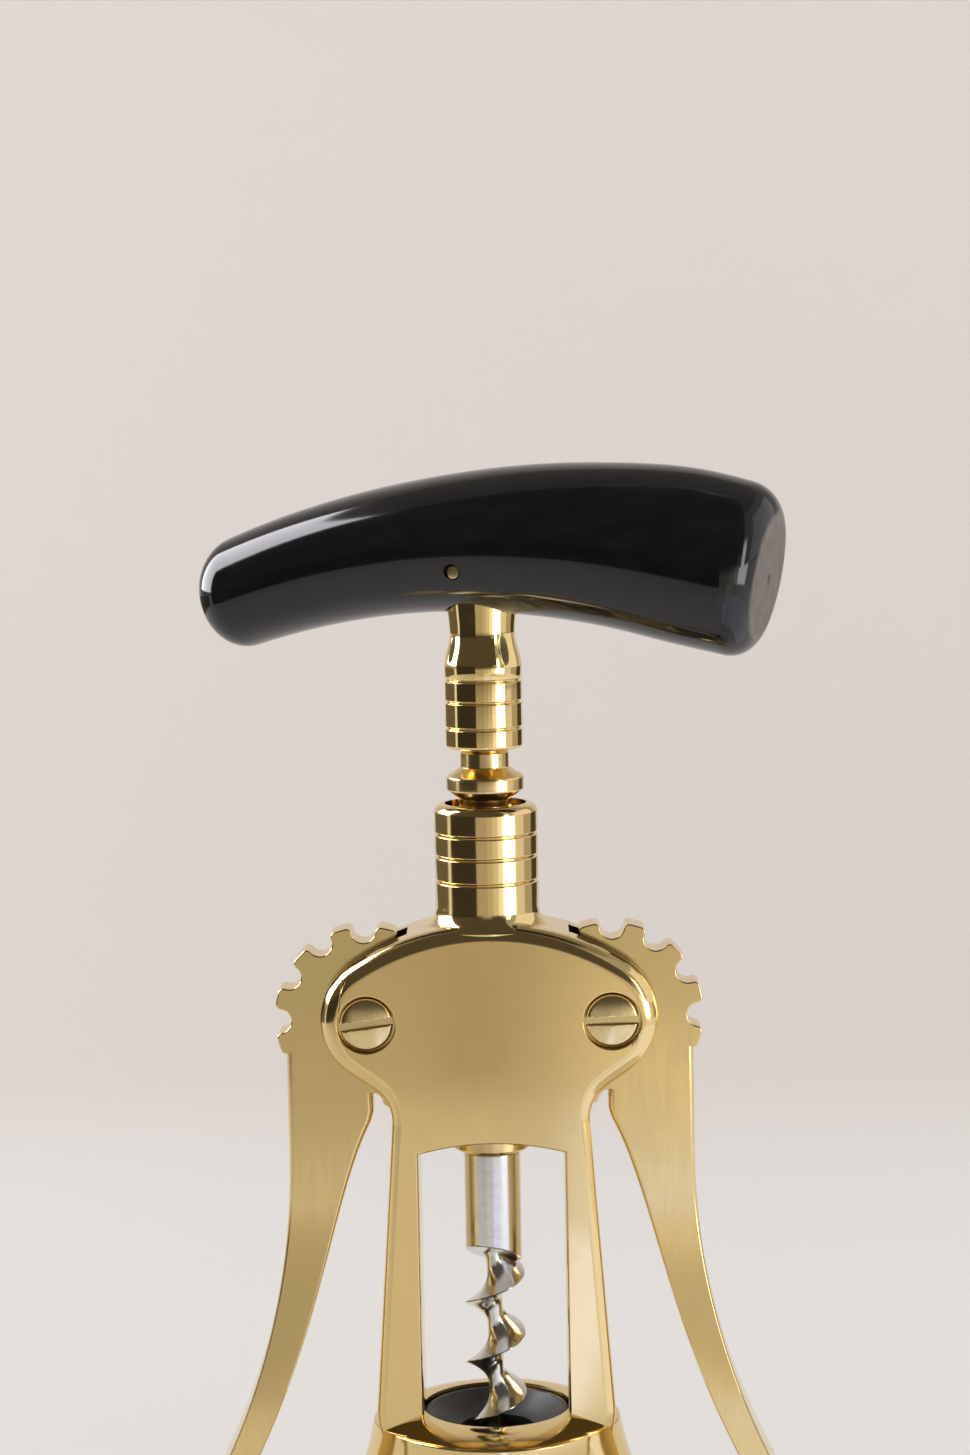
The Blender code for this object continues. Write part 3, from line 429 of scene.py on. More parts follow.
rack_bore, hub_bore, mouth_radius, seat_z = 6.05 * mm, 11.1 * mm, 15.5 * mm, 28.6 * mm
body = plate
for addition in (collar, cup, flare):
    cut(body, addition, "UNION")
cut(body, bar("bore", rack_bore, (0, 0, 70 * mm), (0, 0, collar_top + 2 * mm), 96))
mouth_top, below = bell_top + 0.02 * mm, -2 * mm
strokes = [(hub_bore, mouth_top), (hub_bore, seat_z), (mouth_radius, seat_z), (mouth_radius, below), (0, below)]
cut(body, turn_up("mouth", (0, mouth_top), strokes, 128))
slot_reach, slot_half, pivot_bore, recess_radius, outside = 13.95 * mm, 3.2 * mm, 3.3 * mm, 4.25 * mm, 11 * mm
recess_floor = half_depth - 2.7 * mm
for side in (-1, 1):
    x = side * pivot_x
    cut(body, bar("slot", slot_reach, (x, -slot_half, pivot_z), (x, slot_half, pivot_z), 96))
    cut(body, bar("pivot_hole", pivot_bore, (x, -outside, pivot_z), (x, outside, pivot_z), 64))
    for front in (-1, 1):
        ends = ((x, front * recess_floor, pivot_z), (x, front * outside, pivot_z))
        cut(body, bar("recess", recess_radius, *ends, 96))
close_up(body)
print("drilled frame:", len(body.data.polygons), "faces")

# %% [markdown]
# No edge on the real thing is quite sharp. The rims of the four recesses get a small bevel, and so will other
# edges that catch the light.

# %% Frame: recess rims
def ease(thing, offset, segments, test, **settings):
    """Bevels the edges whose middle and direction pass the test, and tells how many there are."""
    count = choose(thing, "EDGE", test)
    bpy.ops.mesh.bevel(offset=offset, segments=segments, affect="EDGES", **settings)
    done()
    return count


rims = ease(
    body,
    0.2 * mm,
    2,
    lambda place, along: abs(place.y) > half_depth - 0.6 * mm
    and abs(math.hypot(abs(place.x) - pivot_x, place.z - pivot_z) - recess_radius) < 0.03 * mm
    and abs(along.y) < 0.05 * mm,
)
print("recess edges eased:", rims, "faces in all:", len(body.data.polygons))

# %% [markdown]
# A finish is made of nodes. A few short names keep the recipes readable: they add a node, feed its sockets and
# hand on its result. All patterns read the object's own place, so they stay put when the part moves.

# %% Nodes by short names
def feed(socket, value):
    """Links a socket to another node's result, or sets it to a constant."""
    if isinstance(value, bpy.types.NodeSocket):
        socket.id_data.links.new(value, socket)
    else:
        socket.default_value = value


def recipe(name):
    """A new material, two short ways to add nodes and feed the shader, and the object's own place."""
    made = bpy.data.materials.new(name)
    made.use_nodes = True
    tree = made.node_tree

    def add(kind, inputs=None, **settings):
        node = tree.nodes.new("ShaderNode" + kind)
        for key, value in settings.items():
            setattr(node, key, value)
        for key, value in (inputs or {}).items():
            feed(node.inputs[key], value)
        return node

    def give(**inputs):
        for key, value in inputs.items():
            feed(tree.nodes["Principled BSDF"].inputs[key.replace("_", " ")], value)

    return made, add, give, add("TexCoord").outputs["Object"]


def stretched(add, place, scale, turn=(0, 0, 0)):
    """The object's own place, stretched to make a grain."""
    return add("Mapping", {"Vector": place, "Scale": scale, "Rotation": turn}).outputs["Vector"]


def noise(add, vector, scale=1, detail=3, roughness=0.5):
    inputs = {"Vector": vector, "Scale": scale, "Detail": detail, "Roughness": roughness}
    return add("TexNoise", inputs).outputs["Fac"]


def ramp(add, value, low, high, to_low=0, to_high=1):
    inputs = {"Value": value, "From Min": low, "From Max": high, "To Min": to_low, "To Max": to_high}
    return add("MapRange", inputs).outputs["Result"]


def blend(add, share, first, second):
    """A mix of two colours, each a constant or another node's result."""
    first, second = (
        value if isinstance(value, bpy.types.NodeSocket) else (*value, 1) for value in (first, second)
    )
    return add("Mix", {0: share, 6: first, 7: second}, data_type="RGBA").outputs[2]


def plus(add, first, second, operation="ADD"):
    return add("Math", {0: first, 1: second}, operation=operation).outputs[0]


def level_of(add, place):
    """The height of a place."""
    return add("SeparateXYZ", {"Vector": place}).outputs["Z"]

# %% [markdown]
# Brass polished by a wheel: the colour wanders a little, the grain of the wheel runs over it, and handling has
# left hair-fine scratches and a few duller patches. One recipe serves for all metal pieces, with its own tone
# and grain for each. The frame's head is the smoothest, so its grain is asked for on the bell alone.

# %% Brass and steel
def metal(name, bright, worn, grain, base_roughness, grain_depth=0.012, wander=0.05, below=None):
    """Polished metal: tone, worn patches, fine scratches, and grain, if asked for only below a level."""
    made, add, give, place = recipe(name)
    clouds = noise(add, place, 90, 4, 0.6)
    patches = noise(add, place, 260, 5, 0.62)
    lines = noise(add, stretched(add, place, grain), 1, 3, 0.55)
    if below:
        strength = ramp(add, level_of(add, place), below[0] * mm, below[1] * mm, 1, 0.06)
        lines = plus(add, plus(add, plus(add, lines, 0.5, "SUBTRACT"), strength, "MULTIPLY"), 0.5)
    scratches = noise(add, stretched(add, place, (5200, 5200, 240), (0.3, 0.5, 0.9)), 1, 2, 0.5)
    share = plus(add, ramp(add, clouds, 0.35, 0.7), ramp(add, patches, 0.5, 0.8, 0, 0.5), "MULTIPLY")
    share = plus(add, share, ramp(add, lines, 0.4, 0.7, 0, 0.22))
    rough = ramp(add, patches, 0.35, 0.75, base_roughness, base_roughness + wander)
    rough = plus(add, rough, ramp(add, lines, 0.3, 0.7, -wander / 2, wander / 2))
    give(Base_Color=blend(add, share, bright, worn), Metallic=1, Roughness=rough)
    coarse = add("Bump", {"Strength": 0.35, "Distance": grain_depth * mm, "Height": lines})
    fine = {"Strength": 0.25, "Distance": 0.004 * mm, "Height": scratches, "Normal": coarse.outputs["Normal"]}
    give(Normal=add("Bump", fine).outputs["Normal"])
    return made


tones = (0.80, 0.61, 0.28), (0.72, 0.54, 0.24)
frame_brass = metal("frame_brass", *tones, (1400, 1400, 120), 0.09, 0.012, 0.04, (26, 31))
lever_brass = metal("lever_brass", (0.79, 0.61, 0.29), (0.70, 0.53, 0.24), (1500, 1500, 130), 0.12, 0.002)
turned_brass = metal("turned_brass", (0.82, 0.63, 0.28), (0.66, 0.48, 0.19), (60, 60, 3800), 0.05, 0.004)
rack_brass = metal("rack_brass", (0.78, 0.60, 0.28), (0.55, 0.39, 0.16), (60, 60, 3000), 0.17)
screw_brass = metal("screw_brass", (0.80, 0.64, 0.33), (0.55, 0.42, 0.20), (2600, 500, 900), 0.15)
pin_brass = metal("pin_brass", (0.84, 0.66, 0.34), (0.6, 0.45, 0.2), (3500, 3500, 300), 0.3)
rod_steel = metal("rod_steel", (0.62, 0.61, 0.60), (0.42, 0.40, 0.38), (2500, 2500, 90), 0.24)
worm_steel = metal("worm_steel", (0.74, 0.73, 0.71), (0.56, 0.53, 0.48), (500, 500, 1800), 0.17, 0.004)
print("metals:", len(bpy.data.materials))

# %% [markdown]
# Black horn is polished to a deep gloss, with faint fibres along it. The sawn end is only sanded: grey, dull,
# with a cut grain, and with a small dark pith in the middle. The end is told apart by its place alone.

# %% Black horn
made, add, give, place = recipe("horn_black")
fibres = noise(add, stretched(add, place, (45, 420, 420), (0, 0, 0.37)), 1, 5, 0.6)
mottle = noise(add, place, 160, 4, 0.6)
tone = blend(add, ramp(add, fibres, 0.42, 0.75, 0, 0.8), (0.006, 0.006, 0.0065), (0.015, 0.0135, 0.013))
end_way, end_reach = (0.917, -0.352, -0.189), 13.2 * mm
along_horn = add("VectorMath", {0: place, 1: end_way}, operation="DOT_PRODUCT").outputs["Value"]
cut_end = ramp(add, along_horn, end_reach, end_reach + 0.3 * mm)
end_grain = noise(add, stretched(add, place, (1500, 1500, 300)), 1, 4, 0.65)
end_tone = blend(add, ramp(add, end_grain, 0.3, 0.7), (0.13, 0.112, 0.1), (0.23, 0.2, 0.182))
end_middle = (41.2 * mm, -15.8 * mm, 157.2 * mm)
out = add("VectorMath", {0: place, 1: end_middle}, operation="DISTANCE").outputs["Value"]
ragged = plus(add, out, ramp(add, end_grain, 0.3, 0.7, -0.9 * mm, 0.9 * mm))
end_tone = blend(add, ramp(add, ragged, 0.2 * mm, 1.1 * mm), (0.02, 0.018, 0.016), end_tone)
give(Base_Color=blend(add, cut_end, tone, end_tone), Specular_IOR_Level=0.55)
polish = ramp(add, mottle, 0.35, 0.7, 0.07, 0.11)
give(Roughness=plus(add, polish, ramp(add, cut_end, 0, 1, 0, 0.33)))
dents = {"Strength": 0.25, "Distance": 0.008 * mm, "Height": fibres}
give(Normal=add("Bump", dents).outputs["Normal"])
horn_black = made
print("horn nodes:", len(made.node_tree.nodes))

# %% [markdown]
# The liner is moulded, with a fine satin skin that looks a little blotchy in the light.

# %% Black liner
made, add, give, place = recipe("liner_black")
clouds = noise(add, place, 400, 5, 0.6)
moulded = noise(add, place, 6000, 3, 0.6)
give(Base_Color=blend(add, ramp(add, clouds, 0.35, 0.7), (0.016, 0.015, 0.014), (0.026, 0.024, 0.022)))
give(Roughness=ramp(add, clouds, 0.3, 0.7, 0.38, 0.52))
give(Normal=add("Bump", {"Strength": 0.3, "Distance": 0.01 * mm, "Height": moulded}).outputs["Normal"])
liner_black = made
print("materials:", len(bpy.data.materials))

# %% [markdown]
# A finished piece has smooth shading, its own finish and the body that it moves with, and the solid piece that
# it stands for is hidden. The shading leans on the large faces, so flat metal stays flat up to its bevels.

# %% Frame: finished
def finished(thing, body, node, material, angle=30, weighted=False):
    """Smooths the shading, gives the finish, and hangs the piece on its body in place of the CAD node."""
    pick(thing)
    settle()
    bpy.ops.object.shade_smooth_by_angle(angle=math.radians(angle))
    if weighted:
        use(thing, "WEIGHTED_NORMAL", keep_sharp=True, weight=100)
    thing.data.materials.clear()
    thing.data.materials.append(material)
    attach(thing, body)
    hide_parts(node)
    triangles = sum(len(face.vertices) - 2 for face in thing.data.polygons)
    print(thing.name, "stands for", node, "with", triangles, "triangles")
    return thing


finished(body, "frame", "frame_body", frame_brass, angle=32, weighted=True)

# %% [markdown]
# A lever is a toothed disc and a slim arm in one piece. The teeth are round gaps of one cutter between rounded
# tips, so one tooth is four arcs, drawn twelve times round the pivot. They could be one tooth copied round,
# but drawn in one go the outline stays a single loop. Where the arm will join, the disc's rim stays sharp.

# %% Lever: sizes of the teeth and the arm
pitch, teeth = 6.86 * mm, 12
tip_ring, root_ring, gap, corner, disc_half = 13.75 * mm, 11.3 * mm, 1.78 * mm, 0.8 * mm, 2.9 * mm
gap_ring, corner_ring = root_ring + gap, tip_ring - corner
step = math.tau / teeth
offset = math.acos((gap_ring**2 + corner_ring**2 - (gap + corner) ** 2) / (2 * gap_ring * corner_ring))
phase = math.asin(0.3 * mm / (pitch * teeth / math.tau))
away = math.atan2(corner_ring * math.sin(offset), gap_ring - corner_ring * math.cos(offset))
convex, hollow = math.degrees(away + offset), 360 - 2 * math.degrees(math.pi - away)


def around(angle, radius):
    """A place round the left pivot."""
    return -pivot_x + radius * math.cos(angle), pivot_z + radius * math.sin(angle)


outer_x, bend_z, bend, straight_z, tip_z = 30.25 * mm, 71 * mm, 105 * mm, 27 * mm, 3.6 * mm
arm_top, arm_width, root_width, narrow_z, narrowing = 89.4 * mm, 4.6 * mm, 8.15 * mm, 77 * mm, 15 * mm
thin_half, thicker, thicken_z, thicken_over, tip_round = 2.885 * mm, 3.315 * mm, 64 * mm, 44 * mm, 4 * mm


def arm_at(height):
    """The arm's middle, its width and its depth at a height, for the right-hand side."""
    drop = max(bend_z - height, 0)
    curved = min(drop, bend_z - straight_z)
    run = math.sqrt(bend**2 - curved**2)
    outer = outer_x + bend - run + curved / run * (drop - curved)
    width = arm_width + root_width * math.exp(-max(narrow_z - height, 0) / narrowing)
    depth = 2 * (thin_half + thicker * eased((thicken_z - height) / thicken_over))
    round_off = max((tip_z + tip_round - height) / tip_round, 0)
    size = math.sqrt(1 - min(round_off, 0.999) ** 2)
    return outer - width / 2, width * size, depth * size


def in_arm(place):
    """Whether a place on the disc's rim lies inside the arm."""
    middle, width, depth = arm_at(place.z)
    return place.z < arm_top and abs(-place.x - middle) < width / 2


print("turn of a tooth in degrees:", round(math.degrees(step), 1), "phase:", round(math.degrees(phase), 2))

# %% [markdown]
# Each tooth's outline goes round a corner, through a gap, round the next corner and along the tip.

# %% Lever: toothed disc
strokes = []
for index in range(teeth):
    middle = phase + index * step
    strokes += [
        ("arc", *around(middle - offset, corner_ring), convex, 6),
        ("arc", *around(middle, gap_ring), -hollow, 16),
        ("arc", *around(middle + offset, corner_ring), convex, 6),
        ("arc", -pivot_x, pivot_z, math.degrees(step - 2 * offset), 2),
    ]
lever = draw("left_lever_body", around(phase - offset, tip_ring), strokes)
close_up(lever)
thicken(lever, disc_half)
rim = ease(
    lever,
    0.22 * mm,
    3,
    lambda place, along: abs(along.y) < 0.01 * mm and not in_arm(place),
    clamp_overlap=False,
)
print("tooth edges:", rim, "gap arc in degrees:", round(hollow, 1))

# %% [markdown]
# The arm is grown downwards from a small rounded rectangle, slice by slice. It bows outwards, narrows fast
# below the disc, gets thicker towards the tip, and closes over a rounded end.

# %% Lever: arm
def next_slice(move, size, centre, before=0, after=0):
    """Extrudes the selected end face: moved, stood upright, scaled, and leant over again."""
    pull(move)
    if before:
        turn_by(before, "Y", centre)
    size_by(size, centre)
    if after:
        turn_by(-after, "Y", centre)


round_z = tip_z + tip_round
heights = [arm_top - (arm_top - round_z) * index / 56 for index in range(57)]
heights += [round_z - tip_round * math.sin(math.pi / 2 * index / 9.4) for index in range(1, 10)]
middle_x, width, depth = arm_at(heights[0])
pick()
bpy.ops.mesh.primitive_plane_add(size=1, location=(-middle_x, 0, heights[0]))
arm = bpy.context.object
arm.name = "arm"
arm.scale = (width, depth, 1)
settle()
choose_all(arm)
bpy.ops.mesh.bevel(offset=0.9 * mm, segments=6, affect="VERTICES")
for above, height in zip(heights, heights[1:]):
    new_x, new_width, new_depth = arm_at(height)
    move = (middle_x - new_x, 0, height - above)
    next_slice(move, (new_width / width, new_depth / depth, 1), (-new_x, 0, height))
    middle_x, width, depth = new_x, new_width, new_depth
cut(lever, close_up(arm), "UNION")
cut(lever, bar("bearing", pivot_bore, (-pivot_x, -4 * mm, pivot_z), (-pivot_x, 4 * mm, pivot_z), 64))
close_up(lever)
print("lever in mm:", in_mm(lever.dimensions))

# %% [markdown]
# The right lever is the left one's mirror image, with a mesh of its own.

# %% Right lever
pick(lever)
bpy.ops.object.duplicate()
right_lever = bpy.context.object
right_lever.name = "right_lever_body"
choose_all(right_lever)
size_by((-1, 1, 1))
bpy.ops.mesh.flip_normals()
done()
for piece, name in ((lever, "left_lever"), (right_lever, "right_lever")):
    finished(piece, name, name, lever_brass, angle=32, weighted=True)

# %% [markdown]
# The handle is the tip of a black horn, sawn off, bent and polished. It is grown from its left end to its
# right end as one oval that swells and leans with the bend, and its ends are rounded over a flat.

# %% Horn: its form
bend_radius, apex_reach, apex_z = 134.7 * mm, 7 * mm, 162.4 * mm
left_length, right_length, lean_share, thick = 51.9 * mm, 37.6 * mm, 0.68, 12.73 * mm
left_round, right_round = 5.6 * mm, 4.7 * mm
tall_shares = (0.633, 0.681, 0.728, 0.784, 0.856, 0.928, 1.0, 0.98)
wide_shares = (0.689, 0.736, 0.767, 0.798, 0.819, 0.829, 0.824, 0.809)


def curve(shares, place):
    """A smooth curve through evenly spaced shares."""
    last = len(shares) - 1
    index = min(int(place * last), last - 1)
    part = place * last - index
    ends = [2 * shares[0] - shares[1], *shares, 2 * shares[-1] - shares[-2]]
    before, first, second, after = ends[index : index + 4]
    rise, fall = (second - before) / 2, (after - first) / 2
    return (
        first * (2 * part**3 - 3 * part**2 + 1)
        + rise * (part**3 - 2 * part**2 + part)
        + second * (3 * part**2 - 2 * part**3)
        + fall * (part**3 - part**2)
    )


def horn_at(length, inset):
    """The horn's section at a length along its bend: centre, half width, half height and lean."""
    place = (length + left_length) / (left_length + right_length)
    angle = length / bend_radius
    centre = (apex_reach + bend_radius * math.sin(angle), 0, apex_z - bend_radius * (1 - math.cos(angle)))
    wide, tall = thick * curve(wide_shares, place) - inset, thick * curve(tall_shares, place) - inset
    return centre, wide, tall, angle * lean_share


print("the horn's length along the bend in mm:", in_mm([left_length + right_length]))

# %% [markdown]
# The first slice is a filled circle, pressed to an oval and put at the left end. It is then extruded slice by
# slice: round the left end, along the bend, and round the right end.

# %% Horn: grown from end to end
quarter = [(math.sin(math.pi * index / 28), math.cos(math.pi * index / 28)) for index in range(15)]
straight = left_length + right_length - left_round - right_round
slices = [(left_round * (1 - fall) - left_length, left_round * (1 - rise)) for rise, fall in quarter]
slices += [(left_round - left_length + straight * index / 64, 0) for index in range(1, 64)]
slices += [(right_length - right_round * (1 - rise), right_round * (1 - fall)) for rise, fall in quarter]
centre, wide, tall, lean_angle = horn_at(*slices[0])
pick()
bpy.ops.mesh.primitive_circle_add(vertices=96, radius=1, fill_type="NGON", rotation=(0, math.pi / 2, 0))
horn = bpy.context.object
horn.name = "horn_body"
settle()
choose_all(horn)
size_by((1, wide, tall))
turn_by(-lean_angle, "Y")
bpy.ops.transform.translate(value=centre)
for length, inset in slices[1:]:
    new_centre, new_wide, new_tall, new_lean = horn_at(length, inset)
    move = [new - old for new, old in zip(new_centre, centre)]
    next_slice(move, (1, new_wide / wide, new_tall / tall), new_centre, lean_angle, new_lean)
    centre, wide, tall, lean_angle = new_centre, new_wide, new_tall, new_lean
bpy.ops.mesh.select_all(action="SELECT")
horn_turn, pin_turn, pin_z = math.radians(-21), math.radians(-26), 158.2 * mm
turn_by(-horn_turn)
close_up(horn)
print("horn in mm:", in_mm(horn.dimensions))

# %% [markdown]
# The horn is drilled last: a blind bore for the steel rod, a seat that the ferrule fits into, and a small hole
# straight through for the pin, sunk at both ends where the pin was filed below the surface.

# %% Horn: bore, seat and pin hole
ferrule_low, ferrule_top, rod_top = 131.7 * mm, 153.6 * mm, 166.4 * mm
rod_bore, seat_radius, pin_bore, air = 2.75 * mm, 5.5 * mm, 1.15 * mm, 0.3 * mm
cut(horn, bar("bore", rod_bore, (0, 0, ferrule_low), (0, 0, rod_top + air), 64))
cut(horn, bar("seat", seat_radius, (0, 0, ferrule_low), (0, 0, ferrule_top + air), 96))
apex_length = -bend_radius * math.asin(apex_reach / bend_radius)
centre, wide, tall, lean_angle = horn_at(apex_length, 0)
pin_half = wide * math.sqrt(1 - ((centre[2] - pin_z) / tall) ** 2) - 0.3 * mm
across = Vector((-math.sin(pin_turn), math.cos(pin_turn), 0))
pin_middle = Vector((0, 0, pin_z))
far = across * (pin_half + 3 * mm)
cut(horn, bar("pin_hole", pin_bore, pin_middle - far, pin_middle + far, 32))
for side in (-1, 1):
    inner = pin_middle + across * side * pin_half
    cut(horn, bar("pin_recess", 1.25 * mm, inner, pin_middle + far * side, 40))
close_up(horn)
finished(horn, "spindle", "horn_handle", horn_black, angle=40, weighted=True)

# %% [markdown]
# The pin is cut from brass wire and filed, so its ends have a small chamfer.

# %% Pin
pin = bar("pin_body", 0.95 * mm, pin_middle - across * pin_half, pin_middle + across * pin_half, 40)
ease(pin, 0.08 * mm, 2, lambda place, along: abs(along.dot(across)) < 0.01 * mm)
finished(pin, "spindle", "handle_pin", pin_brass)

# %% [markdown]
# The ferrule is turned from bar: three grooves round a straight body, a long waist, and a flared top that
# disappears into the horn.

# %% Ferrule
ferrule_radius, waist_r, top_r = 5.75 * mm, 4.85 * mm, 5.2 * mm
waist_level, body_top, chamfer = 148.7 * mm, 143.8 * mm, 0.6 * mm
strokes = [(top_r, ferrule_top)]
stations = ((top_r, ferrule_top), (waist_r, waist_level), (ferrule_radius, body_top))
for (radius, start_z), (next_radius, end_z) in zip(stations, stations[1:]):
    for share in [index / 16 for index in range(1, 17)]:
        level_now = start_z + (end_z - start_z) * share
        strokes.append((radius + (next_radius - radius) * eased(share), level_now))
deep, wide = 0.3 * mm, 0.5 * mm
groove = ((0, 0.62), (0.16, 0.46), (0.9, 0.2), (1, 0))
groove = [(ferrule_radius - deep * inward, wide * upward) for inward, upward in groove]
for level_now in (141.9 * mm, 138.7 * mm, 134.8 * mm):
    strokes += flanks(level_now, groove)
strokes += [
    (ferrule_radius, ferrule_low + chamfer),
    ("arc", ferrule_radius - chamfer, ferrule_low + chamfer, -90, 6), (rod_bore, ferrule_low),
    (rod_bore, ferrule_top),
]
ferrule = turn_up("ferrule_body", (rod_bore, ferrule_top), strokes, 128)
finished(ferrule, "spindle", "ferrule", turned_brass, angle=35, weighted=True)

# %% [markdown]
# The rack is a sleeve with rings instead of teeth, so the levers engage it however it is turned. The rings are
# turned with rounded crests and sloping flanks.

# %% Rack
root, ring_radius, top_ring, shank_top = 3.6 * mm, 5.75 * mm, 126.5 * mm, 71.1 * mm
rack_top, rack_low, end_chamfer = ferrule_low - 0.3 * mm, shank_top + 0.3 * mm, 0.4 * mm
crest, base, soft = 1.05 * mm, 2.25 * mm, 0.3 * mm
strokes = [(root - end_chamfer, rack_top), (root, rack_top - end_chamfer)]
flank = (
    (root, base + soft), (root + 0.12 * soft, base + 0.35 * soft),
    (ring_radius - soft, crest + 0.45 * soft), (ring_radius - 0.3 * soft, crest - 0.1 * soft),
    (ring_radius, crest - soft),
)
for index in range(6):
    strokes += flanks(top_ring - index * pitch, flank)
level_now = top_ring - 6 * pitch
strokes += [
    *[(radius, level_now + up) for radius, up in flank[::2]], (ring_radius, rack_low + end_chamfer),
    (ring_radius - end_chamfer, rack_low), (rod_bore, rack_low), (rod_bore, rack_top),
]
rack = turn_up("rack_body", (rod_bore, rack_top), strokes, 96)
finished(rack, "rack", "rack_sleeve", rack_brass, angle=30, weighted=True)

# %% [markdown]
# The rod is drawn steel bar with a bevelled top. It takes the worm's stud at the bottom and the pin's hole
# near the top.

# %% Rod
rod_radius, rod_low, stud_radius, stud_top = 2.45 * mm, 71.4 * mm, 1.6 * mm, 80.4 * mm
strokes = [
    (rod_radius - 0.4 * mm, rod_top), (rod_radius, rod_top - 0.4 * mm), (rod_radius, rod_low + 0.2 * mm),
    (rod_radius - 0.2 * mm, rod_low), (0, rod_low),
]
rod = turn_up("rod_body", (0, rod_top), strokes, 64)
cut(rod, bar("stud_hole", stud_radius, (0, 0, rod_low - mm), (0, 0, stud_top), 32))
cut(rod, bar("pin_hole", pin_bore, pin_middle - across * 4 * mm, pin_middle + across * 4 * mm, 32))
close_up(rod)
finished(rod, "spindle", "spindle_rod", rod_steel)

# %% [markdown]
# The worm is a steel bar with one wide flute milled round it, which leaves a slim blade with a narrow land.
# Its level section is a ring pulled out to one side, and a screw modifier winds that section up the axis.

# %% Worm: section
core, land_radius, worm_pitch, worm_tip, facing = 1.15 * mm, 4.55 * mm, 9.2 * mm, 27.3 * mm, 33.8 * mm
pick()
bpy.ops.mesh.primitive_circle_add(vertices=96, radius=core, location=(0, 0, worm_tip))
worm = bpy.context.object
worm.name = "worm_body"
settle()
land, under_curve, upper_curve = math.radians(3), 4.2, 2.7
for index in range(-47, 49):
    angle = math.tau * index / 96
    flank = max(abs(angle) - land, 0) / (math.pi - land)
    blade = (1 - flank) ** (under_curve if angle > 0 else upper_curve)
    out = 1 + (land_radius / core - 1) * blade
    if out < 1.0005:
        continue
    choose(worm, "VERT", lambda place: abs(math.atan2(place.y, place.x) - angle) < 0.01)
    size_by((out, out, 1), (0, 0, worm_tip))
    done()
choose_all(worm)
start_turn = math.tau * (worm_tip - facing) / worm_pitch
turn_by(-start_turn)
done()
wound, rows = 30.7 * mm, 256
winding = {"axis": "Z", "angle": math.tau * wound / worm_pitch, "screw_offset": wound, "iterations": 1}
use(worm, "SCREW", **winding, steps=rows, render_steps=rows, use_merge_vertices=False, use_smooth_shade=False)
levels = sorted({round(corner.co.z, 7) for corner in worm.data.vertices})
print("worm levels:", len(levels), "from and to in mm:", in_mm((levels[0], levels[-1])))

# %% [markdown]
# The point is ground: level by level the section shrinks to almost nothing. At the top the blade sinks into
# the shank, which is a round bar cut off on a slant where the flute runs out.

# %% Worm: point and shank
ground, sunk_z, sunk = 5 * mm, 53.6 * mm, 0.077
for height in levels:
    tip_share = min((height - worm_tip) / ground, 1)
    size = math.sqrt(max(tip_share * (2 - tip_share), 0.002))
    size *= 1 - sunk * eased((height - sunk_z) / (2 * mm))
    if size <= 0.9999:
        squeeze(worm, height, (size, size, 1), 0.01 * mm)
for end in (levels[0], levels[-1]):
    choose(worm, "EDGE", lambda place, along: abs(place.z - end) < 0.005 * mm and abs(along.z) < 0.005 * mm)
    bpy.ops.mesh.edge_face_add()
    done()
close_up(worm)
shank_radius, shank_round, shank_low = 4.25 * mm, 0.3 * mm, 50 * mm
stud, stud_end = 1.3 * mm, shank_top + 9 * mm
strokes = [
    (stud, stud_end), (stud, shank_top), (shank_radius - shank_round, shank_top),
    ("arc", shank_radius - shank_round, shank_top - shank_round, -90, 4), (shank_radius, shank_low),
    (0, shank_low),
]
shank = turn_up("shank", (0, stud_end), strokes, 96)
choose_all(shank)
slant, slant_at = Vector((0.188, 0.47, 1)).normalized(), Vector((0, 0, 55 * mm))
bpy.ops.mesh.bisect(plane_co=slant_at, plane_no=slant, use_fill=True, clear_inner=True)
done()
rim = ease(
    shank,
    0.25 * mm,
    3,
    lambda place, along: abs((place - slant_at).dot(slant)) < 0.02 * mm
    and math.hypot(place.x, place.y) > 4 * mm,
)
cut(worm, close_up(shank), "UNION")
close_up(worm)
print("slant edges:", rim)
finished(worm, "spindle", "worm_screw", worm_steel, angle=35, weighted=True)

# %% [markdown]
# The black piece in the bell centres the bottle's mouth. It is turned: a hub that shows through the bell's
# top, a funnel that guides the worm, and a flange that the bottle meets.

# %% Liner
hub, flange, liner_top, flange_top, liner_low = 10.8 * mm, 15.2 * mm, 31.3 * mm, 28.3 * mm, 24.3 * mm
bore_radius, funnel_low = 5.6 * mm, 28.4 * mm
strokes = [
    (hub - 0.35 * mm, liner_top), ("arc", hub - 0.35 * mm, liner_top - 0.35 * mm, -90, 6),
    (hub, flange_top), (flange - 0.3 * mm, flange_top), (flange, flange_top - 0.3 * mm),
    (flange, liner_low + 0.3 * mm), (flange - 0.3 * mm, liner_low), (bore_radius + 0.3 * mm, liner_low),
    (bore_radius, liner_low + 0.3 * mm), (bore_radius, funnel_low),
]
funnel_radius = hub - 0.9 * mm
for share in [index / 12 for index in range(1, 13)]:
    radius_now = bore_radius + (funnel_radius - bore_radius) * share
    strokes.append((radius_now, funnel_low + (liner_top - funnel_low) * share**1.25))
liner = turn_up("liner_body", (funnel_radius, liner_top), strokes, 128)
finished(liner, "frame", "bell_liner", liner_black)

# %% [markdown]
# A slotted screw from the front and a slotted barrel nut from the back hold each lever. Their heads are low
# domes, sunk into round recesses. All four share one head, so its section is written once.

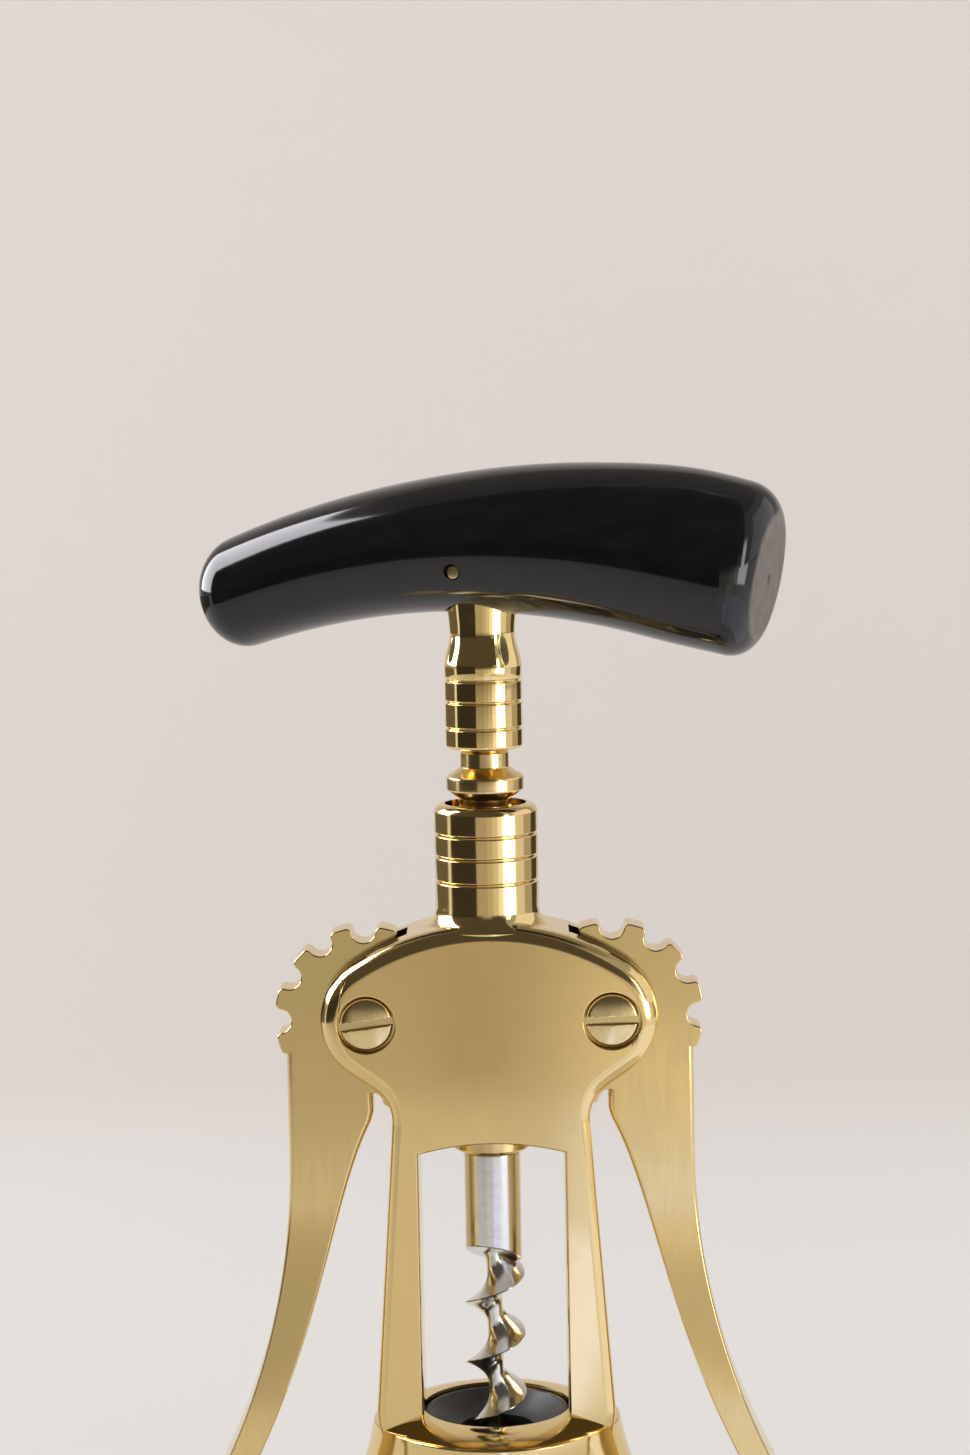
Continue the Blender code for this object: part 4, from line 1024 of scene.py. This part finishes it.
# %% Pivot screws and barrel nuts: sections
head_top, under_head, head_radius = half_depth - 0.1 * mm, half_depth - 2.4 * mm, 3.95 * mm
blade_half, blade_depth, dome_drop, dome_edge = 0.6 * mm, 1.0 * mm, 0.38 * mm, 3.55 * mm
head_dome = (dome_edge**2 + dome_drop**2) / (2 * dome_drop)
sweep = math.degrees(math.asin(dome_edge / head_dome))
head = [
    ("arc", 0, head_top - head_dome, -sweep, 12), (3.78 * mm, head_top - 0.5 * mm),
    (3.91 * mm, head_top - 0.68 * mm), (head_radius, head_top - 0.9 * mm),
    (head_radius, under_head + 0.1 * mm), (head_radius - 0.1 * mm, under_head),
]
screw_end = under_head - 8.5 * mm
screw_strokes = head + [
    (1.7 * mm, under_head), (1.7 * mm, screw_end + 0.3 * mm), (1.4 * mm, screw_end), (0, screw_end),
]
barrel_end = -under_head + 0.3 * mm
barrel_strokes = head + [
    (3 * mm, under_head), (3 * mm, barrel_end + 0.2 * mm), (2.8 * mm, barrel_end), (2.2 * mm, barrel_end),
    (2 * mm, barrel_end + 0.2 * mm), (2 * mm, under_head - 0.3 * mm), (0, under_head - 0.3 * mm),
]
print("screw and barrel in mm:", in_mm((head_top - screw_end, head_top - barrel_end)))

# %% [markdown]
# Each is turned upright, slotted for the screwdriver, laid along Y, and put on its side of the head. The slots
# stand at different angles, as the screws came to rest.

# %% Pivot screws and barrel nuts
for side, label, slot_turn in ((-1, "left", 7), (1, "right", 1)):
    for kind, strokes, front in (("screw", screw_strokes, -1), ("barrel", barrel_strokes, 1)):
        piece = turn_up(label + "_" + kind + "_body", (0, head_top), strokes, 96)
        pick()
        bpy.ops.mesh.primitive_cube_add(size=1, location=(0, 0, head_top + 2 * mm - blade_depth))
        slot = bpy.context.object
        slot.scale = (12 * mm, 2 * blade_half, 4 * mm)
        settle()
        cut(piece, slot)
        close_up(piece)
        lips = ease(
            piece,
            0.07 * mm,
            2,
            lambda place, along: abs(abs(place.y) - blade_half) < 0.01 * mm
            and abs(along.y) < 0.01 * mm
            and place.z > head_top - 0.9 * mm
            and math.hypot(place.x, place.y) < 3.9 * mm,
        )
        print("slot edges eased:", lips)
        piece.rotation_euler = (-front * math.pi / 2, 0, 0)
        settle()
        piece.rotation_euler = (0, front * math.radians(slot_turn), 0)
        settle()
        piece.location = (side * pivot_x, 0, pivot_z)
        finished(piece, "frame", label + "_pivot_" + kind, screw_brass)

# %% [markdown]
# The corkscrew stands on a pale sheet that curves up behind it. The sheet is drawn as one line from the front,
# over the bend and up, and pulled sideways. Its tone is painted light and shade by height: a pale grey floor,
# a darker warm grey in the bend just above it, and a paler warm tone higher up. Its back is see-through, so
# that the corkscrew can also be looked at from behind.

# %% Sheet
sheet = draw("sheet", (-1500 * mm, -0.02 * mm), [
    (240 * mm, -0.02 * mm), ("arc", 240 * mm, 299.98 * mm, 90, 32), (540 * mm, 2200 * mm),
])
choose_all(sheet)
turn_by(-math.pi / 2)
bpy.ops.transform.translate(value=(-1600 * mm, 0, 0))
pull((3200 * mm, 0, 0))
bpy.ops.mesh.normals_make_consistent(inside=False)
done()
settle()
if min(sheet.data.polygons, key=lambda face: face.center.y).normal.z < 0:
    choose_all(sheet)
    bpy.ops.mesh.flip_normals()
    done()
print("the floor faces up:", min(sheet.data.polygons, key=lambda face: face.center.y).normal.z > 0)
bpy.ops.object.shade_smooth()

# %% [markdown]
# The sheet's colour changes with height alone, as painted shade in the bend and painted light higher up, so the
# background's tones come from the paper and not from more light. The shader shows on the side that faces the
# room, and clear air on the other.

# %% Sheet: paper
made, add, give, place = recipe("pale_sheet")
height = level_of(add, place)
# Painted shade and light: the paper is darker low down, most of all in the bend just above the floor, and paler
# higher up.
shaded_sheet_tone = blend(add, ramp(add, height, 20 * mm, 280 * mm), (0.675, 0.62, 0.59), (0.81, 0.75, 0.71))
shaded_sheet_tone = blend(add, ramp(add, height, 0, 12 * mm), (0.705, 0.685, 0.67), shaded_sheet_tone)
clouds = ramp(add, noise(add, place, 3, 2, 0.5), 0.3, 0.7, 0, 0.03)
give(Base_Color=blend(add, clouds, shaded_sheet_tone, (0.5, 0.47, 0.45)))
give(Roughness=0.85)
nodes = made.node_tree.nodes
paper, clear = nodes["Principled BSDF"].outputs["BSDF"], add("BsdfTransparent").outputs["BSDF"]
sides = add("MixShader", {0: add("NewGeometry").outputs["Backfacing"], 1: paper, 2: clear})
feed(nodes["Material Output"].inputs["Surface"], sides.outputs["Shader"])
sheet.data.materials.append(made)
print("sheet nodes:", len(nodes))

# %% [markdown]
# The light is a pale room, with a soft box high on each side and a large one above.

# %% Light
world = bpy.data.worlds.new("pale_room")
bpy.context.scene.world = world
world.use_nodes = True
background = world.node_tree.nodes["Background"]
background.inputs["Color"].default_value = (0.72, 0.71, 0.70, 1)
background.inputs["Strength"].default_value = 0.62


def soft_box(name, azimuth, rise, distance, size, power):
    """A square area light that faces the head; azimuth 0 is the camera's side, positive to the right."""
    light = bpy.data.lights.new(name, "AREA")
    light.shape = "RECTANGLE"
    light.size, light.size_y = size[0] * mm, size[1] * mm
    light.energy = power
    box = bpy.data.objects.new(name, light)
    bpy.context.scene.collection.objects.link(box)
    angle, up_angle = math.radians(azimuth), math.radians(rise)
    towards = Vector((math.sin(angle) * math.cos(up_angle), -math.cos(angle) * math.cos(up_angle),
                      math.sin(up_angle)))
    box.location = Vector((0, 0, 100 * mm)) + towards * distance * mm
    box.rotation_euler = towards.to_track_quat("Z", "Y").to_euler()
    box.visible_camera = False
    box.visible_glossy = False


soft_box("left_box", -112, 29, 560, (500, 400), 1.55)
soft_box("right_box", 90, 27, 560, (560, 440), 1.95)
soft_box("top_box", 180, 72, 800, (700, 300), 1.2)

# %% [markdown]
# Polished metal is mostly a picture of its room. So the room's floor, walls, windows and dark corners are there
# as curved cards that only the polish can see. Azimuth 0 is the camera's side, and positive is to the right.

# %% Cards
def screen(name, start, end, low, high, distance, colour, strength=1, top_distance=None, fade=None):
    """A card from one azimuth to another, leant in to the top distance, and fading out at the top."""
    angle = math.radians(start)
    card = point(name, (math.sin(angle) * distance * mm, -math.cos(angle) * distance * mm, low * mm))
    sweep = math.radians(start - end)
    bpy.ops.mesh.spin(steps=24, angle=sweep, center=(0, 0, low * mm), axis=(0, 0, 1))
    bpy.ops.mesh.select_all(action="SELECT")
    pull((0, 0, (high - low) * mm))
    if top_distance:
        share = top_distance / distance
        size_by((share, share, 1), (0, 0, high * mm))
    done()
    settle()
    paint, add, give, place = recipe(name)
    give(Base_Color=(0, 0, 0, 1), Roughness=1, Emission_Color=(*colour, 1), Emission_Strength=strength)
    if fade:
        give(Emission_Strength=ramp(add, level_of(add, place), (high - fade) * mm, high * mm, strength, 0.05))
    give(Specular_IOR_Level=0)
    card.data.materials.append(paint)
    for ray in ("camera", "diffuse", "shadow", "transmission"):
        setattr(card, "visible_" + ray, False)


tan, dark, pale, cool = (1, 0.92, 0.80), (1, 0.85, 0.7), (1, 0.97, 0.96), (0.95, 0.97, 1)
floor_steps = (
    (-24, 0.56), (-2.8, 0.46), (-1, 0.47), (0.2, 0.52), (1.3, 0.6), (2.4, 0.7), (3.4, 0.8), (4.4, 0.9), (26, 0)
)
for index, ((start, strength), (end, _)) in enumerate(zip(floor_steps, floor_steps[1:])):
    screen("front_floor_%d" % index, start, end, 0, 1, 450, tan, strength, 300)
cards = (
    ("near_floor_left", -26, 0.8, 0, 1, 299, (1, 0.94, 0.88), 0.75, 90),
    ("near_floor_middle", 0.8, 3, 0, 1, 299, (1, 0.96, 1), 0.7, 90),
    ("near_floor_right", 3, 28, 0, 1, 299, (1, 1.04, 1.3), 0.92, 200),
    ("close_floor_right", 3, 9, 0, 1, 199, (1, 1.08, 1.7), 1.15, 90),
    ("close_floor_far", 9, 40, 0, 1, 199, (1, 1, 1.1), 0.9, 90),
    ("front_low_left", -22, 2, 0, 150, 450, tan, 0.5, None, 75),
    ("front_low_middle", 2, 14, 0, 150, 450, tan, 0.62, None, 75),
    ("front_low_right", 14, 26, 0, 150, 450, tan, 0.82, None, 75),
    ("right_curtain", 26, 38, 0, 150, 450, pale, 1.2, None, 60),
    ("right_window", 38, 66, 0, 110, 450, pale, 5),
    ("right_pane", 43, 52, 110, 320, 450, pale, 5, None, 90),
    ("right_wall", 66, 122, 110, 480, 452, pale, 1.0),
    ("left_window", -130, -86, 150, 700, 452, cool, 8),
    ("left_curtain", -86, -72, 250, 700, 452, cool, 1.2),
    ("right_low", 67, 92, 0, 100, 460, pale, 0.85),
    ("right_side", 92, 118, 0, 100, 460, tan, 0.48),
    ("right_dark", 118, 147, 0, 110, 470, dark, 0.07),
    ("right_floor", 28, 110, 0, 1, 300, (1, 1, 1.15), 1.05, 100),
    ("left_dark", -84, -22, 0, 420, 450, dark, 0.045),
    ("left_slit", -93, -85, 0, 110, 460, cool, 1.0),
    ("left_back", -150, -94, 0, 110, 470, dark, 0.16),
    ("dark_room", -84, 31, 112, 900, 480, dark, 0.09, 30),
    ("right_gloom", 31, 43, 200, 900, 480, dark, 0.09, 30),
    ("left_ceiling", -180, -84, 720, 900, 470, tan, 0.25, 30),
    ("right_ceiling", 31, 180, 720, 900, 470, tan, 0.25, 30),
)
for card in cards:
    screen(*card)
print("cards:", len(cards) + len(floor_steps) - 1)
